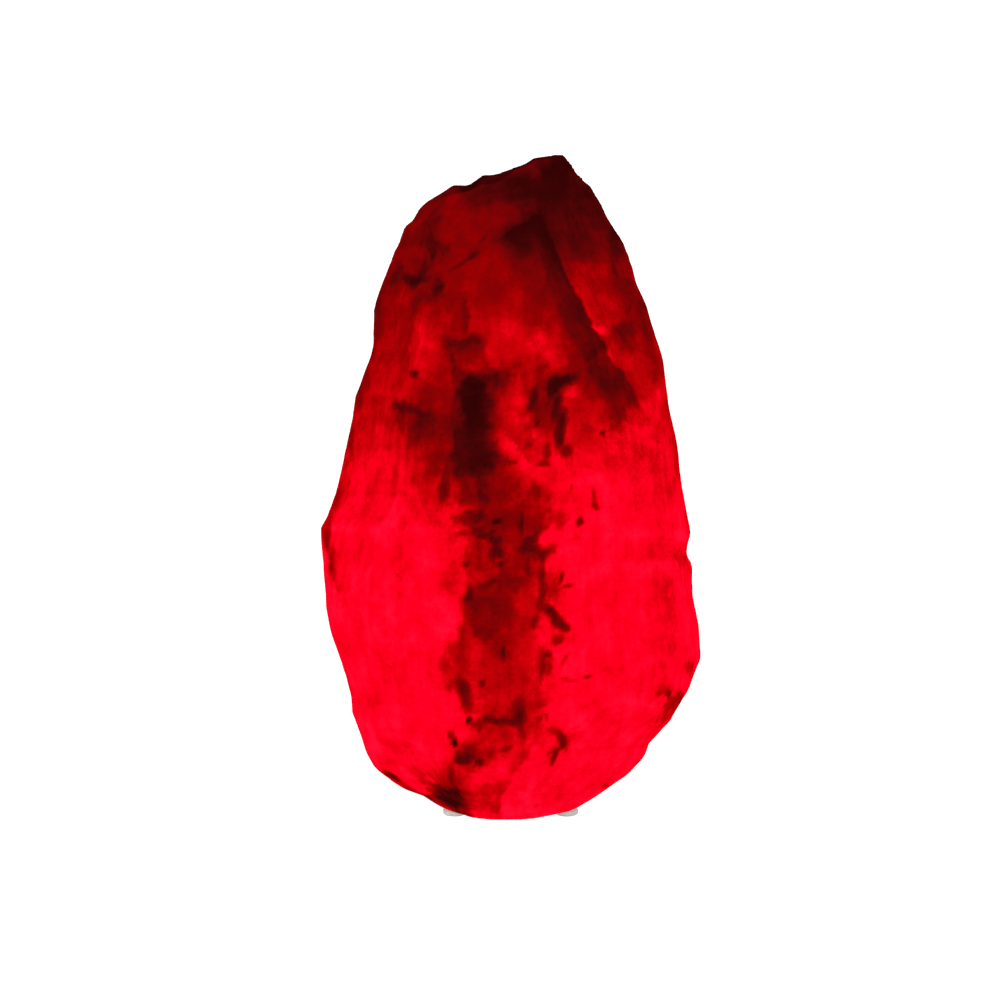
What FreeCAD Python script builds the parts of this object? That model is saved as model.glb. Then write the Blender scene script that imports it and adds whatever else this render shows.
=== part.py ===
"""Salt crystal lamp: a hewn block of rock salt, bored from below, over a clipped E14 lampholder.

Millimetres, +Z up. The origin is on the bore's axis, on the surface that the lamp stands on.
The front of the stone faces -Y, and the cord channel leaves at the back, +Y.
"""
import FreeCAD, Part
import math
import os
import re

import Sketcher

doc = FreeCAD.newDocument("salt_crystal_lamp")
sheet = doc.addObject("Spreadsheet::Sheet", "sizes")

# Each driving size once: its name, its value and what it is.
SIZES = [
    ("foot_wide", 8.0, "diameter of a stick-on felt foot"),
    ("foot_thick", 1.5, "thickness of a felt foot"),
    ("foot_place", 27.8, "from the bore's axis to a foot's centre"),
    ("foot_turn", 45.0, "direction of the first foot from the bore's axis"),
    # the stone's levels: rise above the last one, half width, half depth, centre aside and back
    ("sole_rim_wide", 11.0, "sawn sole outside the recess, to each side"),
    ("sole_rim_deep", 10.0, "sawn sole outside the recess, to front and back"),
    ("sole_aside", -1.0, "centre of the sawn sole, to the right"),
    ("sole_back", 0.0, "centre of the sawn sole, to the back"),
    ("heel_rise", 10.0, "sole to heel"),
    ("heel_wide", 45.5, "half width of the heel"),
    ("heel_deep", 41.0, "half depth of the heel"),
    ("heel_aside", -2.5, "centre of the heel, to the right"),
    ("heel_back", 0.0, "centre of the heel, to the back"),
    ("hip_rise", 14.0, "heel to hip"),
    ("hip_wide", 54.0, "half width of the hip"),
    ("hip_deep", 47.5, "half depth of the hip"),
    ("hip_aside", -1.0, "centre of the hip, to the right"),
    ("hip_back", -0.5, "centre of the hip, to the back"),
    ("belly_rise", 26.0, "hip to belly"),
    ("belly_wide", 63.0, "half width of the belly"),
    ("belly_deep", 53.0, "half depth of the belly"),
    ("belly_aside", 2.3, "centre of the belly, to the right"),
    ("belly_back", 0.0, "centre of the belly, to the back"),
    ("waist_rise", 40.0, "belly to waist"),
    ("waist_wide", 64.8, "half width of the waist"),
    ("waist_deep", 52.0, "half depth of the waist"),
    ("waist_aside", -1.8, "centre of the waist, to the right"),
    ("waist_back", 1.0, "centre of the waist, to the back"),
    ("chest_rise", 40.0, "waist to chest"),
    ("chest_wide", 57.5, "half width of the chest"),
    ("chest_deep", 47.0, "half depth of the chest"),
    ("chest_aside", 0.0, "centre of the chest, to the right"),
    ("chest_back", 2.0, "centre of the chest, to the back"),
    ("shoulder_rise", 35.0, "chest to shoulder"),
    ("shoulder_wide", 49.5, "half width of the shoulder"),
    ("shoulder_deep", 39.5, "half depth of the shoulder"),
    ("shoulder_aside", 1.0, "centre of the shoulder, to the right"),
    ("shoulder_back", 3.0, "centre of the shoulder, to the back"),
    ("neck_rise", 27.0, "shoulder to neck"),
    ("neck_wide", 42.0, "half width of the neck"),
    ("neck_deep", 32.5, "half depth of the neck"),
    ("neck_aside", -1.4, "centre of the neck, to the right"),
    ("neck_back", 4.0, "centre of the neck, to the back"),
    ("brow_rise", 18.0, "neck to brow"),
    ("brow_wide", 35.0, "half width of the brow"),
    ("brow_deep", 24.0, "half depth of the brow"),
    ("brow_aside", 2.0, "centre of the brow, to the right"),
    ("brow_back", 5.0, "centre of the brow, to the back"),
    ("crown_rise", 19.0, "brow to crown"),
    ("crown_wide", 14.0, "half width of the crown"),
    ("crown_deep", 10.0, "half depth of the crown"),
    ("crown_aside", 10.5, "centre of the crown, to the right"),
    ("crown_back", 5.0, "centre of the crown, to the back"),
    # the cleavage planes: direction that each faces, how far it leans up, how deep it bites
    ("left_slope_turn", 180.0, "sloping top, left: facing"),
    ("left_slope_tilt", 60.0, "sloping top, left: lean"),
    ("left_slope_bite", 7.5, "sloping top, left: depth at the brow"),
    ("right_slope_turn", -6.0, "sloping top, right: facing"),
    ("right_slope_tilt", 38.0, "sloping top, right: lean"),
    ("right_slope_bite", -0.5, "sloping top, right: depth at the brow"),
    ("summit_turn", 180.0, "flat at the very top: facing"),
    ("summit_tilt", 81.0, "flat at the very top: lean"),
    ("summit_bite", 26.5, "flat at the very top: depth at the crown"),
    ("ridge_turn", -42.0, "long facet right of the front ridge: facing"),
    ("ridge_tilt", 24.0, "long facet right of the front ridge: lean"),
    ("ridge_bite", 7.2, "long facet right of the front ridge: depth at the neck"),
    ("flank_turn", -150.0, "front left flank: facing"),
    ("flank_tilt", 14.0, "front left flank: lean"),
    ("flank_bite", 3.0, "front left flank: depth at the shoulder"),
    ("heel_right_turn", -58.0, "undercut at the front right: facing"),
    ("heel_right_tilt", -28.0, "undercut at the front right: lean"),
    ("heel_right_bite", 3.4, "undercut at the front right: depth at the heel"),
    ("heel_left_turn", -130.0, "undercut at the front left: facing"),
    ("heel_left_tilt", -30.0, "undercut at the front left: lean"),
    ("heel_left_bite", 3.2, "undercut at the front left: depth at the heel"),
    ("hip_right_turn", 0.0, "undercut at the right: facing"),
    ("hip_right_tilt", -34.0, "undercut at the right: lean"),
    ("hip_right_bite", -1.5, "undercut at the right: depth at the hip"),
    ("back_turn", 96.0, "cleaved back: facing"),
    ("back_tilt", 7.0, "cleaved back: lean"),
    ("back_bite", 5.0, "cleaved back: depth at the waist"),
    ("nape_turn", 60.0, "cleaved upper back: facing"),
    ("nape_tilt", 30.0, "cleaved upper back: lean"),
    ("nape_bite", 5.0, "cleaved upper back: depth at the neck"),
    ("nape_left_turn", 140.0, "cleaved upper back, left: facing"),
    ("nape_left_tilt", 24.0, "cleaved upper back, left: lean"),
    ("nape_left_bite", 4.0, "cleaved upper back, left: depth at the neck"),
    # the hollow
    ("bore_wide", 40.0, "diameter of the bore"),
    ("bore_deep", 122.0, "sole to the bore's end"),
    ("bore_end_round", 9.0, "radius at the bore's blind end"),
    ("recess_wide", 46.0, "diameter of the recess round the bore's mouth"),
    ("recess_deep", 22.0, "sole to the ledge that rests on the cover plate"),
    ("channel_wide", 9.0, "width of the cord channel"),
    ("channel_high", 10.0, "height of the cord channel"),
    # what carries the holder
    ("plate_gap", 0.6, "cover plate to the recess wall"),
    ("plate_thick", 1.0, "thickness of the cover plate"),
    ("clip_gap", 0.3, "bowed arm to the bore wall"),
    ("clip_thick", 0.6, "sheet of the spring clip"),
    ("clip_disc_wide", 31.0, "diameter of the clip's disc"),
    ("clip_arm_wide", 8.0, "width of a bowed arm"),
    ("clip_arm_high", 27.0, "height of a bowed arm"),
    ("clip_arms", 3, "number of bowed arms"),
    ("nipple_wide", 10.0, "outer diameter of the threaded nipple"),
    ("nipple_bore", 7.2, "inner diameter of the threaded nipple"),
    ("nipple_below", 4.7, "nipple that stands out below its nut"),
    ("thread_gap", 0.05, "clearance all round a threaded or pushed fit"),
    ("nut_flats", 14.0, "width of the nut across its flats"),
    ("nut_thick", 3.0, "thickness of the nut"),
    ("washer_wide", 16.0, "diameter of the washer"),
    ("washer_thick", 0.8, "thickness of the washer"),
    ("bush_bore", 5.8, "hole for the supply cord"),
    ("bush_flange_wide", 12.4, "diameter of the cord bush's flange"),
    ("bush_flange_thick", 1.2, "thickness of the cord bush's flange"),
    ("bush_stem", 6.0, "cord bush inside the nipple"),
    # the lampholder
    ("holder_wide", 27.0, "diameter of the lampholder"),
    ("cap_high", 16.0, "holder cap up to its shoulder"),
    ("cap_neck_step", 1.5, "how far the cap's threaded neck steps in"),
    ("cap_neck_high", 5.0, "height of the cap's threaded neck"),
    ("cap_wall", 1.4, "wall of the cap's neck"),
    ("cap_floor", 2.4, "floor of the cap"),
    ("cap_round", 5.0, "round at the cap's lower edge"),
    ("boss_wide", 15.0, "diameter of the boss round the nipple"),
    ("boss_high", 10.0, "height of the boss round the nipple"),
    ("grub_wide", 3.0, "diameter of the grub screw"),
    ("grub_inset", 3.4, "grub screw's end to the outside of the holder"),
    ("shell_high", 26.0, "height of the holder's shell"),
    ("shell_mouth", 18.7, "diameter of the shell's mouth"),
    ("shell_slim", 0.5, "how far the shell steps in above its collar"),
    ("shell_collar", 2.5, "height of the shell's collar"),
    ("shell_lip", 1.15, "flat ring round the shell's mouth"),
    ("rib_count", 16, "number of grip ribs"),
    ("rib_wide", 1.2, "width of a grip rib"),
    ("rib_high", 15.0, "height of a grip rib"),
    ("insert_flange", 5.0, "thickness of the insert's flange"),
    ("insert_below", 8.0, "insert below its flange"),
    ("insert_barrel", 13.0, "insert above its flange"),
    ("insert_gap", 0.15, "clearance round the insert"),
    ("sleeve_floor", 3.5, "insert's flange, from below, to the step under the sleeve"),
    ("well_wide", 11.0, "diameter of the well for the end contact"),
    ("well_deep", 2.1, "depth of the well for the end contact"),
    ("sleeve_wall", 0.35, "sheet of the threaded sleeve"),
    ("sleeve_rim_wide", 16.8, "diameter of the sleeve's turned-out rim"),
    ("contact_thick", 0.4, "sheet of the contacts"),
    ("contact_wide", 3.0, "width of the contacts"),
    ("contact_high", 1.2, "height of the folded end contact"),
    ("contact_leg_out", 4.8, "end contact's leg from the axis"),
    ("terminal_place", 5.2, "terminal's centre from the axis"),
    ("terminal_wide", 5.8, "width of a terminal"),
    ("terminal_deep", 6.8, "depth of a terminal, front to back"),
    ("terminal_high", 6.3, "height of a terminal"),
    ("terminal_screw_wide", 2.4, "diameter of a terminal screw"),
    ("terminal_head_wide", 3.6, "diameter of a terminal screw's head"),
    # the bulb
    ("cap_thread_wide", 13.8, "outer diameter of the bulb cap's thread"),
    ("cap_sheet", 0.3, "sheet of the bulb cap"),
    ("cap_thread_high", 14.4, "height of the bulb cap's thread"),
    ("skirt_wide", 16.6, "diameter of the bulb cap's skirt"),
    ("skirt_flare", 2.5, "height of the flare below the skirt"),
    ("skirt_high", 2.5, "height of the skirt"),
    ("eyelet_wide", 3.6, "diameter of the end contact"),
    ("eyelet_high", 0.8, "height of the end contact"),
    ("glass_seal_wide", 4.4, "diameter of the black glass at the end contact"),
    ("glass_seal_high", 2.8, "height of the black glass"),
    ("glass_seal_lip", 1.0, "black glass that stands inside the cap"),
    ("glass_wide", 22.0, "diameter of the bulb's glass"),
    ("glass_wall", 0.6, "wall of the bulb's glass"),
    ("glass_neck_wide", 15.8, "diameter of the glass's neck"),
    ("glass_neck_high", 4.1, "height of the glass's neck"),
    ("glass_shoulder", 5.0, "height of the glass's shoulder"),
    ("glass_straight", 16.3, "height of the glass's straight part"),
    ("stem_wide", 5.0, "diameter of the glass stem"),
    ("stem_high", 11.0, "height of the glass stem"),
    ("stem_foot", 0.8, "thickness of the stem's flared foot"),
    ("lead_wide", 0.5, "diameter of a lead wire"),
    ("support_wide", 0.3, "diameter of a support wire"),
    ("wire_root", 1.4, "wires' start from the axis"),
    ("wire_high", 7.5, "rise of the wires above the stem"),
    ("filament_reach", 5.5, "filament's curve from the axis"),
    ("filament_wide", 0.6, "diameter of the coiled filament"),
]

for line, (name, size, meaning) in enumerate(SIZES, 1):
    sheet.set("A%d" % line, meaning)
    sheet.set("B%d" % line, str(size))
    sheet.setAlias("B%d" % line, name)
NAMES = {name for name, size, meaning in SIZES}
doc.recompute()

PIECES = []

# Heights and radii that follow from the sizes.
SOLE = "foot_thick"
LEDGE = "(foot_thick + recess_deep)"
NUT_SEAT = f"({LEDGE} - plate_thick - washer_thick - nut_thick)"
NIPPLE_FOOT = f"({NUT_SEAT} - nipple_below)"
CAP_SEAT = f"({LEDGE} + clip_thick)"
SHELL_SEAT = f"({CAP_SEAT} + cap_high)"
INSERT_SEAT = f"({SHELL_SEAT} + cap_neck_high)"
WELL_FLOOR = "(sleeve_floor - well_deep)"
TERMINAL_TOP = "(terminal_high - insert_below)"
BULB_SEAT = f"({INSERT_SEAT} + {WELL_FLOOR} + contact_high)"
NIPPLE_HOLE = "(nipple_wide / 2 + thread_gap)"
CAP_NECK = "(holder_wide / 2 - cap_neck_step)"
SHELL_BORE = f"({CAP_NECK} + thread_gap)"
SHELL_OUTER = "(holder_wide / 2 - shell_slim)"
SHELL_EDGE = f"({SHELL_OUTER} - shell_mouth / 2 - shell_lip)"
SLEEVE_BORE = "(cap_thread_wide / 2 + thread_gap)"
SIDE_LEG = f"((well_wide / 2 + {SLEEVE_BORE} + sleeve_wall) / 2)"
END_LEG = "(-contact_leg_out)"
CAP_FOOT = "(eyelet_high + glass_seal_high - glass_seal_lip)"
SKIRT_FOOT = f"({CAP_FOOT} + cap_thread_high)"
GLASS_FOOT = f"({SKIRT_FOOT} + skirt_flare)"
STEM_TOP = f"({GLASS_FOOT} + stem_high)"
FILAMENT = f"({STEM_TOP} + wire_high)"


def ruled(rule):
    """The same rule with each of the sheet's names given in full."""
    return re.sub(r"[a-z_]+", lambda word: f"sizes.{word[0]}" if word[0] in NAMES else word[0], rule)


def bind(item, field, rule):
    """Ties one field of an object to a rule written in the sheet's names."""
    item.setExpression(field, ruled(rule))


def worth(rule):
    """A rule's number now, in millimetres or degrees."""
    return float(sheet.evalExpression(ruled(rule)))


def keep(item, node):
    """Names a finished piece after its node, and puts it on the list to write."""
    item.Label = node
    PIECES.append(item)
    return item


def new_body(node, seat="0"):
    """An empty body for one piece, at its height above the ground."""
    body = doc.addObject("PartDesign::Body", node)
    bind(body, "Placement.Base.z", seat)
    return keep(body, node)


def origin_part(body, role):
    """One of a body's own origin planes or axes."""
    return next(part for part in body.Origin.OriginFeatures if part.Role == role)


def sketch_on(body, plane, lift):
    """An empty sketch on one of a body's origin planes, lifted off it along its normal."""
    sketch = body.newObject("Sketcher::SketchObject", "outline")
    sketch.AttachmentSupport = [(origin_part(body, plane), "")]
    sketch.MapMode = "FlatFace"
    bind(sketch, "AttachmentOffset.Base.z", lift)
    return sketch


def fix(sketch, kind, edge, spot, rule):
    """One dimension of a sketch, tied to its rule."""
    if spot is None:
        row = sketch.addConstraint(Sketcher.Constraint(kind, edge, worth(rule)))
    else:
        row = sketch.addConstraint(Sketcher.Constraint(kind, -1, 1, edge, spot, worth(rule)))
    bind(sketch, f"Constraints[{row}]", rule)


def arc_between(start, end, radius):
    """A minor arc from start to end; it turns left where radius is over 0, otherwise right."""
    first, last = (start, end) if radius > 0 else (end, start)
    half = (last - first) * 0.5
    across = FreeCAD.Vector(-half.y, half.x, 0).normalize()
    centre = first + half + across * math.sqrt(max(radius**2 - half.Length**2, 0))
    angles = [math.atan2(spot.y - centre.y, spot.x - centre.x) for spot in (first, last)]
    if angles[1] < angles[0]:
        angles[1] += 2 * math.pi
    circle = Part.Circle(centre, FreeCAD.Vector(0, 0, 1), abs(radius))
    return Part.ArcOfCircle(circle, *angles)


def draw(body, plane, corners, bends=None, lift="0"):
    """A closed outline whose corners are pairs of rules. bends gives the radius of the edge
    that leaves a corner, over 0 where it turns left and under 0 where it turns right."""
    sketch, bends = sketch_on(body, plane, lift), bends or {}
    spots = [FreeCAD.Vector(worth(across), worth(up), 0) for across, up in corners]
    ends = []
    for edge, start in enumerate(spots):
        end = spots[(edge + 1) % len(spots)]
        if edge in bends:
            radius = worth(bends[edge])
            sketch.addGeometry(arc_between(start, end, radius), False)
            ends.append((1, 2) if radius > 0 else (2, 1))
        else:
            sketch.addGeometry(Part.LineSegment(start, end), False)
            ends.append((1, 2))
    for edge in range(len(spots)):
        after = (edge + 1) % len(spots)
        joint = Sketcher.Constraint("Coincident", edge, ends[edge][1], after, ends[after][0])
        sketch.addConstraint(joint)
    for edge, (across, up) in enumerate(corners):
        fix(sketch, "DistanceX", edge, ends[edge][0], across)
        fix(sketch, "DistanceY", edge, ends[edge][0], up)
        if edge in bends:
            fix(sketch, "Radius", edge, None, bends[edge].lstrip("-"))
    return sketch


def draw_hole(body, plane, across, up, radius, lift="0"):
    """A circle on one of a body's planes."""
    sketch = sketch_on(body, plane, lift)
    middle = FreeCAD.Vector(worth(across), worth(up), 0)
    sketch.addGeometry(Part.Circle(middle, FreeCAD.Vector(0, 0, 1), worth(radius)), False)
    fix(sketch, "DistanceX", 0, 3, across)
    fix(sketch, "DistanceY", 0, 3, up)
    fix(sketch, "Radius", 0, None, radius)
    return sketch


def revolve(body, corners, bends=None, kind="PartDesign::Revolution"):
    """An outline on the body's XZ plane, turned all round its Z axis."""
    sketch = draw(body, "XZ_Plane", corners, bends)
    feature = body.newObject(kind, "turned")
    feature.Profile = sketch
    feature.ReferenceAxis = (sketch, ["V_Axis"])
    feature.Angle = 360
    return feature


def extrude(body, sketch, length, both_ways=False):
    """A pad of the given length, along the sketch's normal or half to each side."""
    feature = body.newObject("PartDesign::Pad", "raised")
    feature.Profile = sketch
    feature.Midplane = both_ways
    bind(feature, "Length", length)
    return feature


def sink(body, sketch, length, along=True):
    """A pocket of the given length, along the sketch's normal or against it."""
    feature = body.newObject("PartDesign::Pocket", "sunk")
    feature.Profile = sketch
    feature.Reversed = along
    bind(feature, "Length", length)
    return feature


def repeat(body, feature, count):
    """Copies of a feature all round the body's Z axis."""
    pattern = body.newObject("PartDesign::PolarPattern", "repeated")
    pattern.Originals = [feature]
    pattern.Axis = (origin_part(body, "Z_Axis"), [""])
    pattern.Angle = 360
    bind(pattern, "Occurrences", count)
    body.Tip = pattern
    return pattern


def oblong(across, up, half_wide, half_high):
    """The corners of a rectangle about a middle point."""
    left, right = f"{across} - ({half_wide})", f"{across} + ({half_wide})"
    low, high = f"{up} - ({half_high})", f"{up} + ({half_high})"
    return [(left, low), (right, low), (right, high), (left, high)]


def turned(node, seat, corners, bends=None):
    """A piece that is only a turned outline."""
    body = new_body(node, seat)
    revolve(body, corners, bends)
    return body


# --- the stone ---------------------------------------------------------------------------------

LEVELS = ["sole", "heel", "hip", "belly", "waist", "chest", "shoulder", "neck", "brow", "crown"]
HALF_WIDE = {name: f"{name}_wide" for name in LEVELS}
HALF_WIDE["sole"] = "(recess_wide / 2 + sole_rim_wide)"
HALF_DEEP = {name: f"{name}_deep" for name in LEVELS}
HALF_DEEP["sole"] = "(recess_wide / 2 + sole_rim_deep)"


def level_height(name):
    """Height of one of the stone's levels: the felt feet and every rise up to it."""
    rises = [f"{below}_rise" for below in LEVELS[1:LEVELS.index(name) + 1]]
    return "(" + " + ".join([SOLE, *rises]) + ")"


def rough_stone():
    """The stone before it is split: a smooth skin over an oval at each level."""
    ovals = []
    for name in LEVELS:
        oval = doc.addObject("Part::Ellipse", f"{name}_oval")
        bind(oval, "MajorRadius", HALF_WIDE[name])
        bind(oval, "MinorRadius", HALF_DEEP[name])
        bind(oval, "Placement.Base.x", f"{name}_aside")
        bind(oval, "Placement.Base.y", f"{name}_back")
        bind(oval, "Placement.Base.z", level_height(name))
        ovals.append(oval)
    stone = doc.addObject("Part::Loft", "rough_stone")
    stone.Sections = ovals
    stone.Solid = True
    return stone


def cut(base, tool, name):
    """What is left of base once tool has been taken away."""
    rest = doc.addObject("Part::Cut", name)
    rest.Base = base
    rest.Tool = tool
    return rest


# Each cleavage plane, and the level at whose rim its bite is measured.
FACETS = [
    ("left_slope", "brow"),
    ("right_slope", "brow"),
    ("summit", "crown"),
    ("ridge", "neck"),
    ("flank", "shoulder"),
    ("heel_right", "heel"),
    ("heel_left", "heel"),
    ("hip_right", "hip"),
    ("back", "waist"),
    ("nape", "neck"),
    ("nape_left", "neck"),
]


def reach_of(facet, level):
    """From a level's centre to its rim, in the direction that a facet faces, less its bite."""
    wide, deep, turn = HALF_WIDE[level], HALF_DEEP[level], f"{facet}_turn"
    return f"({wide} * {deep} / hypot({deep} * cos({turn}); {wide} * sin({turn})) - {facet}_bite)"


def waste_block(facet, level):
    """The block that splits off outside one cleavage plane. Its inner face passes through a
    spot on the level's rim, moved in towards the level's centre by the facet's bite."""
    turn, tilt, reach = f"{facet}_turn", f"{facet}_tilt", reach_of(facet, level)
    block = doc.addObject("Part::Box", f"{facet}_waste")
    block_wide = "(waist_wide * 4)"
    for side in ("Length", "Width", "Height"):
        bind(block, side, block_wide)
    spot = (
        f"create(<<vector>>; {level}_aside + {reach} * cos({turn}) - {block_wide} / 2;"
        f" {level}_back + {reach} * sin({turn}) - {block_wide} / 2; {level_height(level)})"
    )
    turning = f"create(<<rotation>>; {turn}; 90 - {tilt}; 0)"
    middle = f"create(<<vector>>; {block_wide} / 2; {block_wide} / 2; 0)"
    bind(block, "Placement", f"create(<<placement>>; {spot}; {turning}; {middle})")
    return block


def hollow():
    """Everything that is cored and sawn out from below: recess, bore and its rounded end."""
    body = doc.addObject("PartDesign::Body", "hollow")
    bind(body, "Placement.Base.z", SOLE)
    recess, bore, end = "(recess_wide / 2)", "(bore_wide / 2)", "bore_end_round"
    revolve(body, [
        ("0", "-foot_thick"),
        (recess, "-foot_thick"),
        (recess, "recess_deep"),
        (bore, "recess_deep"),
        (bore, f"bore_deep - {end}"),
        (f"{bore} - {end}", "bore_deep"),
        ("0", "bore_deep"),
    ], {4: end})
    return body


def cord_channel():
    """The round-topped channel that lets the cord out at the back."""
    body = doc.addObject("PartDesign::Body", "cord_channel")
    bind(body, "Placement.Base.z", SOLE)
    side, spring = "(channel_wide / 2)", "(channel_high - channel_wide / 2)"
    arch = draw(body, "XZ_Plane", [
        (f"-{side}", "-foot_thick"),
        (side, "-foot_thick"),
        (side, spring),
        ("0", "channel_high"),
        (f"-{side}", spring),
    ], {2: side, 3: side})
    feature = extrude(body, arch, "(recess_wide + waist_deep)")
    feature.Reversed = True
    return body


def salt_crystal():
    """The hewn stone, split to its facets, with its hollow and its cord channel."""
    stone = rough_stone()
    for facet, level in FACETS:
        stone = cut(stone, waste_block(facet, level), f"split_{facet}")
    stone = cut(stone, hollow(), "cored_stone")
    keep(cut(stone, cord_channel(), "finished_stone"), "salt_crystal")


def foot(node, turn):
    """A felt foot with its lower edge broken, between the recess and the sole's edge."""
    edge = "(foot_thick / 4)"
    body = turned(node, "0", [
        ("0", "0"),
        (f"foot_wide / 2 - {edge}", "0"),
        ("foot_wide / 2", edge),
        ("foot_wide / 2", "foot_thick"),
        ("0", "foot_thick"),
    ])
    bind(body, "Placement.Base.x", f"foot_place * cos({turn})")
    bind(body, "Placement.Base.y", f"foot_place * sin({turn})")


# --- what holds the lampholder in the bore -----------------------------------------------------

def cover_plate():
    """The steel plate under the ledge, with its lower edge broken."""
    rim, edge = "(recess_wide / 2 - plate_gap)", "(plate_thick / 3)"
    turned("cover_plate", LEDGE, [
        (NIPPLE_HOLE, "-plate_thick"),
        (f"{rim} - {edge}", "-plate_thick"),
        (rim, f"-plate_thick + {edge}"),
        (rim, "0"),
        (NIPPLE_HOLE, "0"),
    ])


def spring_clip():
    """A disc with bowed arms that press outwards on the bore wall."""
    body = new_body("spring_clip", LEDGE)
    disc = "(clip_disc_wide / 2)"
    revolve(body, [(NIPPLE_HOLE, "0"), (disc, "0"), (disc, "clip_thick"), (NIPPLE_HOLE, "clip_thick")])
    # an arm is flat across, so its two edges come nearest to the wall
    bow = "sqrt(pow(bore_wide / 2 - clip_gap; 2) - pow(clip_arm_wide / 2; 2))"
    middle, tip = "(clip_arm_high / 2)", "(clip_disc_wide / 2 + clip_thick * 2)"
    rise = f"(({bow}) - {disc})"
    fall = f"(({bow}) - {tip})"
    lower = f"((pow({rise}; 2) + pow({middle}; 2)) / (2 * {rise}))"
    lower_inside = f"((pow({rise}; 2) + pow({middle} - clip_thick; 2)) / (2 * {rise}))"
    upper = f"((pow({fall}; 2) + pow({middle}; 2)) / (2 * {fall}))"
    arm = draw(body, "XZ_Plane", [
        (f"{disc} - clip_thick * 5", "0"),
        (disc, "0"),
        (bow, middle),
        (tip, "clip_arm_high"),
        (f"{tip} - clip_thick", "clip_arm_high"),
        (f"{bow} - clip_thick", middle),
        (f"{disc} - clip_thick", "clip_thick"),
        (f"{disc} - clip_thick * 5", "clip_thick"),
    ], {1: lower, 2: upper, 4: f"-{upper}", 5: f"-{lower_inside}"})
    repeat(body, extrude(body, arm, "clip_arm_wide", both_ways=True), "clip_arms")


def nipple():
    """The threaded tube that carries the cord up and pins plate, clip and holder together."""
    inner, outer, edge = "(nipple_bore / 2)", "(nipple_wide / 2)", "thread_gap * 8"
    top = "(nipple_below + nut_thick + washer_thick + plate_thick + clip_thick + boss_high)"
    turned("nipple", NIPPLE_FOOT, [
        (inner, "0"),
        (f"{outer} - {edge}", "0"),
        (outer, edge),
        (outer, f"{top} - {edge}"),
        (f"{outer} - {edge}", top),
        (inner, top),
    ])


def nipple_nut():
    """The hexagon nut below the plate, with its corners turned off."""
    body = new_body("nipple_nut", NUT_SEAT)
    corner = "(nut_flats / 2 / cos(30))"
    hexagon = [(f"{corner} * cos({turn})", f"{corner} * sin({turn})") for turn in range(0, 360, 60)]
    extrude(body, draw(body, "XY_Plane", hexagon), "nut_thick")
    sink(body, draw_hole(body, "XY_Plane", "0", "0", NIPPLE_HOLE), "nut_thick")
    slope = f"({corner} - nut_flats / 2)"
    revolve(body, [
        ("nut_flats / 2", "0"),
        (f"{corner} * 1.1", "0"),
        (f"{corner} * 1.1", f"{slope} * 0.7"),
        (corner, f"{slope} * 0.6"),
    ], kind="PartDesign::Groove")


def lock_washer():
    """The washer between nut and plate."""
    rim = "(washer_wide / 2)"
    turned("lock_washer", f"({NUT_SEAT} + nut_thick)", [
        (NIPPLE_HOLE, "0"), (rim, "0"), (rim, "washer_thick"), (NIPPLE_HOLE, "washer_thick"),
    ])


def cord_bush():
    """The plastic bush in the nipple's mouth, rounded where the cord bends out of it."""
    hole, flange, stem = "(bush_bore / 2)", "(bush_flange_wide / 2)", "(nipple_bore / 2 - thread_gap)"
    lip = "(bush_flange_thick / 2)"
    turned("cord_bush", f"({NIPPLE_FOOT} - bush_flange_thick)", [
        (hole, "0"),
        (f"{flange} - {lip}", "0"),
        (flange, lip),
        (flange, "bush_flange_thick"),
        (stem, "bush_flange_thick"),
        (stem, "bush_flange_thick + bush_stem"),
        (hole, "bush_flange_thick + bush_stem"),
    ], {1: lip})


# --- the lampholder ----------------------------------------------------------------------------

def holder_cap():
    """The holder's lower half: a cup with a threaded boss inside and a threaded neck on top."""
    body = new_body("holder_cap", CAP_SEAT)
    outer, inner, boss = "(holder_wide / 2)", f"({CAP_NECK} - cap_wall)", "(boss_wide / 2)"
    revolve(body, [
        (NIPPLE_HOLE, "0"),
        (f"{outer} - cap_round", "0"),
        (outer, "cap_round"),
        (outer, "cap_high"),
        (CAP_NECK, "cap_high"),
        (CAP_NECK, "cap_high + cap_neck_high"),
        (inner, "cap_high + cap_neck_high"),
        (inner, "cap_floor"),
        (boss, "cap_floor"),
        (boss, "boss_high"),
        (NIPPLE_HOLE, "boss_high"),
    ], {1: "cap_round"})
    hole = draw_hole(body, "YZ_Plane", "0", "boss_high / 2", "grub_wide / 2 + thread_gap")
    sink(body, hole, "holder_wide")


def cap_screw():
    """The grub screw that keeps the holder from turning on its nipple, with a slotted end."""
    body = new_body("cap_screw", f"({CAP_SEAT} + boss_high / 2)")
    start, end = f"({NIPPLE_HOLE} + thread_gap)", "(holder_wide / 2 - grub_inset)"
    extrude(body, draw_hole(body, "YZ_Plane", "0", "0", "grub_wide / 2", start), f"{end} - {start}")
    slot = oblong("0", "0", "grub_wide", "grub_wide / 8")
    sink(body, draw(body, "YZ_Plane", slot, lift=f"{end} - grub_wide / 3"), "grub_wide")


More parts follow.
